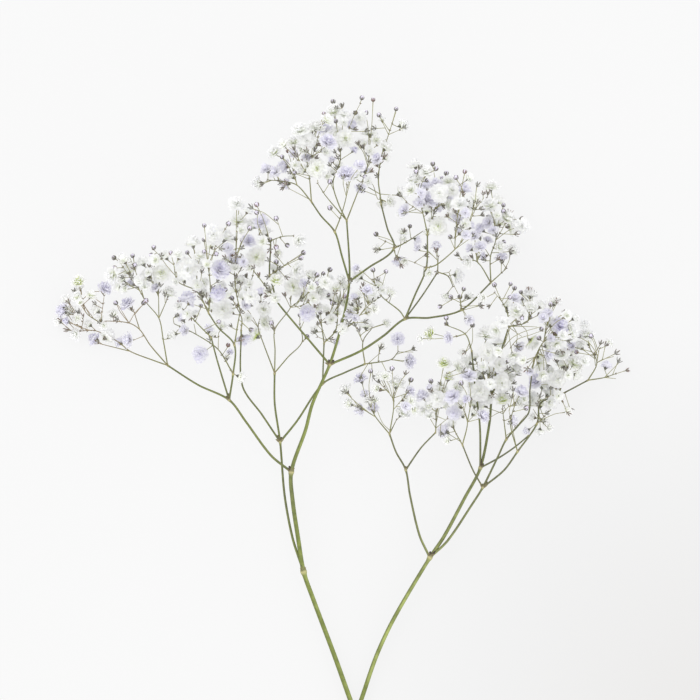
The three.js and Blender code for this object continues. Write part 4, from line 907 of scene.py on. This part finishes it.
def bloom(soup, flower, rng, tone, glow):
    """A double bloom: whorls of ragged, ruffled petals."""
    centre, axis = flower["centre"], flower["axis"]
    radius = flower["radius"] * (FACE_FULLNESS if axis[2] > FACE_ON else FULLNESS)
    u, v = local_frame(axis, flower["spin"])
    is_large = flower["radius"] >= LARGE_BLOOM
    openness = rng.uniform(0.96, 1.08) if is_large else rng.uniform(0.86, 1.04)
    whorls = WHORLS if is_large else SMALL_WHORLS
    if glow > GREEN_HEART:
        whorls = [*whorls, HEART_WHORL]
    for layer, whorl in enumerate(whorls):
        count, root, middle, tip, width = whorl
        shape = (count, 1, 1)

        def vary(low, high):
            return rng.uniform(low, high, shape)

        turn = (np.arange(count) + 0.5 * (layer % 2)) * 2 * math.pi / count
        turn = turn.reshape(shape) + vary(-0.2, 0.2)
        tip_out = tip[0] * openness * vary(0.86 if is_large else 0.7, 1.1)
        tip_up = tip[1] + vary(-0.12, 0.14)
        mid_out = middle[0] * vary(0.8, 1.2)
        mid_up = middle[1] + vary(-0.08, 0.08)
        ragged = rng.uniform(*RAGGED, (count, 1, COLUMNS)) - NOTCH * bell(S, 0.3)
        q = T * (1 + T**3 * (ragged - 0.08 * S**2 + 0.08))
        out = (1 - q) ** 2 * root[0] + 2 * (1 - q) * q * mid_out + q**2 * tip_out
        up = (1 - q) ** 2 * root[1] + 2 * (1 - q) * q * mid_up + q**2 * tip_up
        across = S * (width * WIDTH_ALONG * vary(0.82, 1.12))
        cupping = vary(-0.10, 0.16) * S**2 * T
        ruffle = RUFFLE * T**2 * np.sin(4.2 * S + vary(0, 6.3))
        curl = vary(-0.10, 0.05) * T**4
        up = up + cupping + ruffle + curl
        x = out * np.cos(turn) - across * np.sin(turn)
        y = out * np.sin(turn) + across * np.cos(turn)
        points = centre + radius * (x[..., None] * u + y[..., None] * v + up[..., None] * axis)
        blush = np.broadcast_to(vary(0, 1), x.shape)
        depth = np.broadcast_to(np.clip(q, 0, 1), x.shape)
        if whorl is HEART_WHORL:
            depth = depth * HEART_DEPTH
        faces = [tuple(i + p * ROWS * COLUMNS for i in face)
                 for p in range(count) for face in PETAL_FACES]
        soup.add(points, faces, depth=depth.ravel(), blush=blush.ravel(), tone=tone, glow=glow)


def cup(soup, flower, rng, is_dry):
    """The calyx: a small pale bell, with dark pointed sepals that spread from its foot."""
    radius, axis = flower["radius"], flower["axis"]
    if is_dry:
        tall = CUP_TALLEST * rng.uniform(0.88, 1.1)
    else:
        tall = min(CUP_TALLEST, max(CUP_SHORTEST, CUP_OF_BLOOM * radius))
    foot = flower["centre"] - axis * (DRY_CUP_FOOT if is_dry else CUP_FOOT) * radius
    u, v = local_frame(axis, flower["spin"])
    points = [point for up, wide in CUP_PROFILE
              for point in ring(foot + axis * up * tall, u, v, wide * CUP_WIDTH * tall)]
    points += [foot - axis * 0.1, foot + axis * 0.6 * tall]
    soup.add(points, capped(len(CUP_PROFILE), RING_SIDES), tone=0.5, rib=0.8, core=0.35, mark=0.1)
    rust = rng.choice([0.0, 0.0, 0.0, 0.1, 0.2, 0.4] if is_dry else [0.0, 0.0, 0.0, 0.2])
    open_angle = rng.uniform(0.46, 0.68)
    for k in range(SEPALS):
        turn = k * 2 * math.pi / SEPALS + rng.uniform(-0.15, 0.15)
        side = -u * math.sin(turn) + v * math.cos(turn)
        out = around(u, v, turn)
        lean = open_angle * rng.uniform(0.85, 1.15)
        reach = tall * rng.uniform(0.95, 1.2)
        points = []
        for part, wide in SPREAD_SEPAL:
            swing = lean * (1.3 - 0.4 * part)
            p = foot + reach * part * around(axis, out, swing)
            points += [p - side * wide, p + out * wide * 0.5, p + side * wide,
                       p - out * wide * 0.3]
        soup.add(points, strips(len(SPREAD_SEPAL), 4, True), tone=0.6, rib=0.5, rust=rust,
                 mark=np.repeat([0.2, 0.5, 1.0, 1.0, 1.0], 4))


def bud(soup, flower, rng):
    """A round closed bud: a pale core, held by dark pointed sepals."""
    axis, centre = flower["axis"], flower["centre"]
    radius = BUD_RADIUS * rng.uniform(0.78, 1.0)
    u, v = local_frame(axis, flower["spin"])
    rust = rng.choice([0.0] * 14 + [0.4])
    points, cores = [], []
    for row in range(1, BUD_RINGS + 1):
        part = row / (BUD_RINGS + 1)
        up = -math.cos(math.pi * part) * radius * BUD_LENGTH
        points += ring(centre + axis * up, u, v, math.sin(math.pi * part) * radius * BUD_WIDTH)
        cores += [min(1.0, max(0.0, (part - 0.15) * 2.5))] * RING_SIDES
    points += [centre - axis * radius * BUD_LENGTH, centre + axis * radius * BUD_TIP]
    soup.add(points, capped(BUD_RINGS, RING_SIDES), core=[*cores, 0.0, 1.0], tone=0.8, rib=0.5,
             mark=0.15)
    rows = len(CLOSED_SEPAL)
    marks = np.repeat([0.7, 0.85, 0.95, 1.0, 1.0, 1.0], 3) - np.tile([0.15, 0.0, 0.15], rows)
    for k in range(SEPALS):
        turn = k * 2 * math.pi / SEPALS + rng.uniform(-0.12, 0.12)
        points = []
        for row, wide in enumerate(CLOSED_SEPAL):
            reach = CLOSED_REACH * rng.uniform(0.96, 1.04) - CLOSED_START
            polar = CLOSED_START + reach * (row / (rows - 1))
            up = -math.cos(polar) * radius * SEPAL_LENGTH
            for side in (-1, 0, 1):
                angle = turn + side * wide / max(0.35, math.sin(polar))
                out = math.sin(polar) * radius * (SEPAL_EDGE if side else SEPAL_RIDGE)
                points.append(centre + axis * up + around(u, v, angle) * out)
        soup.add(points, strips(rows, 3), mark=marks, tone=0.8, rib=0.4, rust=rust)


def blade(soup, base, out, reach, width, lift, **values):
    """A small pointed bract with a folded blade, curling up at its tip."""
    out = unit(out)
    side = unit(np.cross(out, vec(0, 0, 1)))
    up = np.cross(side, out)
    points = []
    for part, wide in BLADE:
        middle = base + out * reach * part + up * lift * part**2
        for across, fold in BLADE_FOLD:
            points.append(middle + side * across * wide * width + up * fold * wide * width)
    soup.add(points, strips(len(BLADE), len(BLADE_FOLD)), rib=0.5, **values)


# ---------- Materials ----------

BUMP_DEPTH = 0.0002  # in m


def linear(red, green, blue):
    """Scene colour of an 8-bit display colour."""
    return tuple(((c / 255 + 0.055) / 1.055) ** 2.4 for c in (red, green, blue)) + (1.0,)


class Nodes:
    """A small helper that adds nodes to a material and links them."""

    def __init__(self, name):
        self.material = bpy.data.materials.new(name)
        self.material.use_nodes = True
        self.tree = self.material.node_tree
        self.tree.nodes.clear()
        self.output = self.node("ShaderNodeOutputMaterial")
        self.coordinates = self.node("ShaderNodeTexCoord").outputs["Object"]

    def node(self, kind, values=None, **settings):
        """Adds a node. A value is a number, vector or colour for a socket, or what feeds it."""
        made = self.tree.nodes.new(kind)
        for key, setting in settings.items():
            setattr(made, key, setting)
        for socket, value in (values or {}).items():
            if isinstance(value, (float, tuple)):
                made.inputs[socket].default_value = value
            else:
                self.tree.links.new(value, made.inputs[socket])
        return made

    def value(self, attribute):
        return self.node("ShaderNodeAttribute", attribute_name=attribute).outputs["Fac"]

    def noise(self, scale, detail=3.0):
        return self.node("ShaderNodeTexNoise", {"Scale": scale, "Detail": detail,
                                                "Vector": self.coordinates}).outputs["Fac"]

    def spread(self, source, low, high, to_low=0.0, to_high=1.0):
        return self.node("ShaderNodeMapRange", {"Value": source, "From Min": low,
                                                "From Max": high, "To Min": to_low,
                                                "To Max": to_high}).outputs["Result"]

    def times(self, a, b):
        return self.node("ShaderNodeMath", {0: a, 1: b}, operation="MULTIPLY").outputs[0]

    def ramp(self, source, stops):
        made = self.node("ShaderNodeValToRGB", {"Fac": source})
        elements = made.color_ramp.elements
        while len(elements) < len(stops):
            elements.new(0.5)
        for element, (place, colour) in zip(elements, stops):
            element.position = place
            element.color = linear(*colour)
        return made.outputs["Color"]

    def mix(self, factor, a, b):
        return self.node("ShaderNodeMix", {0: factor, 6: a, 7: b}, data_type="RGBA").outputs[2]

    def bump(self, source, strength):
        return self.node("ShaderNodeBump", {"Strength": strength, "Distance": BUMP_DEPTH,
                                            "Height": source}).outputs["Normal"]

    def shader(self, kind, values):
        return self.node(kind, values).outputs[0]

    def mixed(self, factor, a, b):
        return self.shader("ShaderNodeMixShader", {"Fac": factor, 1: a, 2: b})

    def show(self, surface):
        """Puts a shader on the material's surface."""
        self.tree.links.new(surface, self.output.inputs["Surface"])
        return self.material


def petal_material(name, stops, glow_colour, deep_colour, through):
    """Thin ruffled petals: paler towards their tips, greener inside, and darker inside with
    painted shade.
    """
    n = Nodes(name)
    veins = n.noise(900.0, 4.0)
    # Painted shade and real colour: petals darker and greener towards their roots, deep inside the
    # bloom.
    base = n.ramp(n.value("depth"), stops)
    deep = n.times(n.spread(n.value("blush"), 0.35, 1.0), n.value("tone"))
    blotch = n.times(deep, n.spread(veins, 0.42, 0.62))
    base = n.mix(blotch, base, deep_colour)
    heart = n.times(n.spread(n.value("depth"), 0.6, 0.2), n.value("glow"))
    base = n.mix(heart, base, glow_colour)
    base = n.mix(n.spread(veins, 0.35, 0.7, 0.0, 0.16), base, deep_colour)
    surface = n.shader("ShaderNodeBsdfPrincipled", {
        "Base Color": base, "Roughness": 0.75, "Specular IOR Level": 0.2,
        "Normal": n.bump(n.noise(1400.0, 2.0), 0.25)})
    lit = n.shader("ShaderNodeBsdfTranslucent", {"Color": base})
    return n.show(n.mixed(through, surface, lit))


def green_material(name):
    """Stems and twigs: a painted highlight along them, mottling, tan rings and dark axils."""
    n = Nodes(name)
    mottle = n.noise(420.0, 4.0)
    green = n.mix(n.spread(mottle, 0.3, 0.7), linear(80, 90, 36), linear(106, 115, 53))
    grey = n.mix(n.spread(mottle, 0.3, 0.7), linear(76, 77, 52), linear(101, 102, 74))
    base = n.mix(n.value("tone"), green, grey)
    # Painted highlight: a lighter yellow-green band along one side of every stem, twig and calyx.
    highlight_strength = n.times(n.spread(n.value("rib"), 0.55, 1.0), n.spread(n.noise(160.0), 0.3, 0.7))
    base = n.mix(n.times(highlight_strength, 0.65), base, linear(162, 172, 98))
    base = n.mix(n.value("tan"), base, linear(198, 186, 142))
    dark = n.mix(n.value("rust"), linear(103, 100, 92), linear(140, 94, 84))
    base = n.mix(n.value("mark"), base, dark)
    base = n.mix(n.value("husk"), base, linear(50, 42, 34))
    base = n.mix(n.value("core"), base, linear(196, 190, 206))
    return n.show(n.shader("ShaderNodeBsdfPrincipled", {
        "Base Color": base, "Roughness": n.spread(mottle, 0.3, 0.7, 0.45, 0.68),
        "Specular IOR Level": 0.35, "Normal": n.bump(n.noise(1100.0, 3.0), 0.35)}))


greens = green_material("stem_green")
# Each stop is a place between a petal's root, 0, and its tip, 1, and the colour there. The darker
# stops at the root are partly the petals' own greener base and partly painted shade deep in the
# bloom.
whites = petal_material(
    "petals_white",
    [(0.0, (238, 241, 232)), (0.35, (245, 246, 242)), (0.7, (247, 247, 246)),
     (1.0, (248, 248, 248))],
    glow_colour=linear(214, 226, 118), deep_colour=linear(219, 219, 227), through=0.66)
lilacs = petal_material(
    "petals_lilac",
    [(0.0, (216, 215, 218)), (0.35, (234, 233, 238)), (0.7, (241, 241, 245)),
     (1.0, (247, 246, 250))],
    glow_colour=linear(226, 229, 208), deep_colour=linear(187, 181, 216), through=0.72)

# ---------- The stem ----------

GREEN_VALUES = ("tone", "rib", "tan", "mark", "rust", "husk", "core")
KNOT_SWELLING = 0.55  # of the stem's radius
THICK_AXIS, THICK_SIDES, THIN_SIDES = 0.9, 12, 9
GREY_OF_RADIUS = ([0.3, 0.55, 0.9], [0.7, 0.3, 0.0])
HIGHLIGHT_OF_RADIUS = ([0.4, 0.75], [0.6, 1.0])

# How grey the stem is, and how strong its painted highlight is, at heights in the photo, in mm
# from the part's origin.
STEM_RIGHT = 12  # its right part begins here
GREY_RIGHT = ([-95, -40, -10, 10], [0.15, 0.5, 0.45, 0.3])
GREY_LEFT = ([-48, -24, -12, 5], [0.0, 0.45, 0.35, 0.1])
HIGHLIGHT_RIGHT = ([-100, -80, -40, -20], [1.25, 1.2, 1.0, 0.8])
HIGHLIGHT_LEFT = ([-48, -20, -5], [0.85, 0.5, 0.9])

# Webs in the forks: the places of their rings along them, and their widths and dark tips.
WEB = ([0.2, 0.5, 0.75, 0.92, 1.0], [0.8, 0.95, 0.9, 0.6, 0.1], [0.2, 0.7, 0.95, 1.0, 1.0])
WEB_REACH = 4.6  # at most
DARK_OF_RADIUS = ([0.4, 0.62], [0.2, 1.0])
WIDEST_FORK = -0.2  # cosine of the angle between its branches

# Bracts: their table, lean upwards, height over the knuckle, form, rust (where they are reddish
# too) and looks.
RED_KNUCKLES = ("l5", "l6")
BRACT_KINDS = (
    (BRACTS, 0.25, 0, (3.2, 0.7, 1.6), (0.4, 0.4), dict(tone=0.3, tan=0.35, mark=0.35, husk=0.1)),
    (FINE_BRACTS, 0.7, 0.35, (2.2, 0.36, 0.9), (0.15, 0.45), dict(tone=0.6, tan=0.3, mark=0.4)),
)


def by_side(path, right, left):
    """A value that changes along y, with a table of its own right and left."""
    return np.where(path[:, 0] > STEM_RIGHT, np.interp(path[:, 1], *right),
                    np.interp(path[:, 1], *left))


def add_axis(stem, branches, widths, places):
    """One axis of the stem, and what leaves its knuckles, as directions and radii."""
    path, along, at_given = smooth_path(axis_points(places), 1.1)
    whole = along[-1]

    def width_at(distance):
        return np.interp(distance / whole, [0, 0.5, 1], widths)

    radii = width_at(along)
    knots = [(d, p) for d, p in zip(at_given, places) if isinstance(p, str) and p != "cut"]
    tan, mark = np.zeros(len(path)), np.zeros(len(path))
    for d, _ in knots:
        off = along - d
        here = width_at(d)
        reach = max(0.9, 1.3 * here)
        radii = radii + here * KNOT_SWELLING * bell(off, reach)
        tan = np.maximum(tan, bell(off + 0.25 * reach, 0.45 * reach) * 0.7)
        mark = np.maximum(mark, bell(off - reach, 0.5 * reach) * 0.5)
    tone = np.interp(radii, *GREY_OF_RADIUS) + by_side(path, GREY_RIGHT, GREY_LEFT)
    highlight_strength = by_side(path, HIGHLIGHT_RIGHT, HIGHLIGHT_LEFT) * np.interp(radii, *HIGHLIGHT_OF_RADIUS)
    sides = THICK_SIDES if widths[0] > THICK_AXIS else THIN_SIDES
    tube(stem, path, radii, sides, highlight_strength, tone=np.minimum(1.0, tone), tan=tan, mark=mark, rust=0.3)
    for d, p in knots:
        ahead = path[np.searchsorted(along, min(whole, d + 3))] - knuckle(p)
        if length(ahead) > 1:
            branches.setdefault(p, []).append((unit(ahead), float(width_at(d))))


def add_web(stem, name, one, wide, other, narrow):
    """The web between two neighbouring branches of a knuckle."""
    closeness = float(one @ other)
    if closeness <= WIDEST_FORK:
        return
    between = unit(one + other)
    thick = 0.5 * (wide + narrow)
    spread = math.sqrt(max(0.05, 0.5 - 0.5 * closeness))
    reach = min(WEB_REACH, thick * (1.35 / spread + 1.5))
    dark = float(np.interp(thick, *DARK_OF_RADIUS))
    parts, form, tips = WEB
    path = np.array([knuckle(name) + between * reach * part + vec(0, 0, 0.5 * thick)
                     for part in parts])
    tube(stem, path, thick * np.array(form), 6, tone=0.6, mark=0.6 * dark,
         husk=dark * np.array(tips), rust=0.5)


stem = Soup(GREEN_VALUES)
branches = {}
for _, widths, places in AXES:
    add_axis(stem, branches, widths, places)
for name, leaving in branches.items():
    leaving.sort(key=lambda branch: math.atan2(branch[0][1], branch[0][0]))
    for one, other in zip(leaving, leaving[1:]):
        add_web(stem, name, *one, *other)
for table, lean, raised, form, (rust, red_rust), looks in BRACT_KINDS:
    for name, headings in table:
        for angle in map(math.radians, headings):
            out = vec(math.cos(angle), math.sin(angle), lean)
            blade(stem, knuckle(name) + vec(0, 0, raised), out, *form, **looks,
                  rust=red_rust if name in RED_KNUCKLES else rust)
stem_piece = stem.make("stem_fine", greens)
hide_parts("stem")

# ---------- The sprays ----------

LOOK_SEED = 1000
RIGHT_PART = 395  # lilac blooms are paler right of this place on the drawing grid
PALE_RIGHT, PALE_LEFT = 0.35, 0.7
PETALS = {  # word for the pieces, material, range of tone, range of glow
    "W": ("white", whites, (0.0, 0.7), (0.0, 0.22)),
    "L": ("lilac", lilacs, (0.1, 0.9), (0, 0.1)),
}
RED_STALKED = ("far_left_low", "far_left_mid")  # sprays whose thin stalks are reddish brown
RED_RUST, RED_WEAR = 0.75, 0.45
TWIG_START, SIDE_TWIG_START, TWIG_END = 0.39, 0.3, 0.2  # radii
FINE_TWIG = (0.19, 0.13)
STALK = ([0, 0.8, 1], [0.19, 0.15, 0.24])
FORK_SPACING = 3.5  # stalks that leave closer to others than this have no bracts


def add_bracts(green, site, rng):
    """A pair of tiny bracts where a stalk leaves its twig."""
    heading = site["heading"]
    for turn in (-1, 1):
        side = vec(-heading[1], heading[0], 0) * turn
        out = heading * 0.9 + side * 0.6 + vec(0, 0, rng.uniform(-0.3, 0.5))
        blade(green, site["point"], out, rng.uniform(0.9, 1.4), 0.22, 0.3, tone=0.8, mark=0.75,
              rust=0.25)


def tint(flower, rng):
    """How deep a bloom's blotches are and how green its heart is."""
    if flower["place"] in TINTS:
        return TINTS[flower["place"]]
    _, _, tones, glows = PETALS[flower["kind"]]
    tone, glow = rng.uniform(*tones), rng.uniform(*glows)
    if flower["kind"] == "L":
        tone *= PALE_RIGHT if flower["place"][0] > RIGHT_PART else PALE_LEFT
    return tone, glow


def add_spray(spray, rng):
    green = Soup(GREEN_VALUES)
    petals = {kind: Soup(("depth", "blush", "tone", "glow")) for kind in PETALS}
    rust, worn = (RED_RUST, RED_WEAR) if spray["name"] in RED_STALKED else (0.0, 0.0)
    for t, points in enumerate(spray["twigs"]):
        path, along, _ = smooth_path(points, 1.3)
        part = along / along[-1]
        radii = np.interp(part, [0, 1], [SIDE_TWIG_START if t else TWIG_START, TWIG_END])
        tube(green, path, radii, 6, 0.65, tone=0.55 + 0.3 * part, rust=rust,
             tan=0.1 + bell(along, 1.2) * 0.5,
             mark=np.maximum(bell(along, 0.8) * 0.4, worn * part))
    for points in spray["fine"]:
        path, along, _ = smooth_path(points, 1.5)
        tube(green, path, np.interp(along / along[-1], [0, 1], FINE_TWIG), 5,
             tone=0.9, tan=0.25, mark=max(0.1, worn), rust=rust)
    forked = []
    for flower in spray["flowers"]:
        path, along, _ = smooth_path(flower["path"], 1.2)
        tube(green, path, np.interp(along / along[-1], *STALK), 5, tone=0.8, tan=0.25, rust=rust,
             mark=np.maximum(bell(along, 0.7) * 0.4, worn))
        root = flower["root"]["point"]
        if all(length(root - other) > FORK_SPACING for other in forked):
            forked.append(root)
            add_bracts(green, flower["root"], rng)
        if flower["kind"] == "B":
            bud(green, flower, rng)
        else:
            if flower["is_bloom"]:
                bloom(petals[flower["kind"]], flower, rng, *tint(flower, rng))
            cup(green, flower, rng, not flower["is_bloom"])
    pieces = [(f"twigs_{spray['name']}", green, greens, "stem")]
    for kind, (word, material, *_) in PETALS.items():
        pieces.append((f"{word}_{spray['name']}", petals[kind], material, f"{word}_blooms"))
    for name, soup, material, slot in pieces:
        if soup.count:
            piece = soup.make(name, material)
            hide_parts(f"spray_{spray['name']}")


for index, spray in enumerate(sprays):
    add_spray(spray, np.random.default_rng(LOOK_SEED + index))

# ---------- Floor, light and camera, in m ----------

FLOOR_SIZE = 5.0
FLOOR_LIGHT = 0.92  # part of the floor's brightness that doesn't depend on shadows
FLOOR_GLOW = 0.926  # its strength
SHADE_CENTRE = (0.19, -0.14, 0.0)  # centre of the shade painted on the floor, its darkest place
WORLD_LIGHT = 1.66
KEY_LIGHT, KEY_SPREAD, KEY_TURN = 0.6, 50, (-22, -32, 0)  # strength, and angles in degrees
PHOTO_CENTRE = (350, 350)  # on the drawing grid
PHOTO_WIDTH = 0.35
PHOTO_HEIGHT = 0.03  # over the floor, where the picture has that width
CAMERA_HEIGHT = 10.0
SENSOR = 36

n = Nodes("floor_pale")
# Painted shade: the floor's colour, and so its glow, darkens towards SHADE_CENTRE.
away = n.node("ShaderNodeVectorMath", {0: n.coordinates, 1: SHADE_CENTRE}, operation="DISTANCE")
shade = n.ramp(n.spread(away.outputs["Value"], 0.0, 0.3), [
    (0.0, (236, 235, 234)), (0.4, (243, 243, 243)), (0.68, (249, 249, 249)),
    (1.0, (250, 250, 250))])
matt = n.shader("ShaderNodeBsdfDiffuse", {"Color": shade})
glow = n.shader("ShaderNodeEmission", {"Color": shade, "Strength": FLOOR_GLOW})
floor_mesh = bpy.data.meshes.new("floor")
floor_mesh.from_pydata([(x * FLOOR_SIZE, y * FLOOR_SIZE, 0)
                        for x, y in ((-1, -1), (1, -1), (1, 1), (-1, 1))], [], [(0, 1, 2, 3)])
floor_mesh.materials.append(n.show(n.mixed(FLOOR_LIGHT, matt, glow)))
add_object("floor", floor_mesh)

world = bpy.data.worlds.new("studio")
world.use_nodes = True
background = world.node_tree.nodes["Background"]
background.inputs["Color"].default_value = (1, 1, 1, 1)
background.inputs["Strength"].default_value = WORLD_LIGHT
bpy.context.scene.world = world

key = bpy.data.lights.new("key", "SUN")
key.energy = KEY_LIGHT
key.angle = math.radians(KEY_SPREAD)
add_object("key", key).rotation_euler = [math.radians(angle) for angle in KEY_TURN]

bpy.context.scene.view_settings.view_transform = "Standard"
bpy.context.scene.view_settings.look = "None"

camera = bpy.data.cameras.new("camera")
camera.sensor_width = SENSOR
camera.lens = SENSOR * (CAMERA_HEIGHT - PHOTO_HEIGHT) / PHOTO_WIDTH
camera.clip_start, camera.clip_end = 0.1, 100
camera_object = add_object("camera", camera)
camera_object.location = [*(on_grid(*PHOTO_CENTRE) * MM)[:2], CAMERA_HEIGHT]
bpy.context.scene.camera = camera_object

# ---------- Updating the scene --------------------------

bpy.context.view_layer.update()
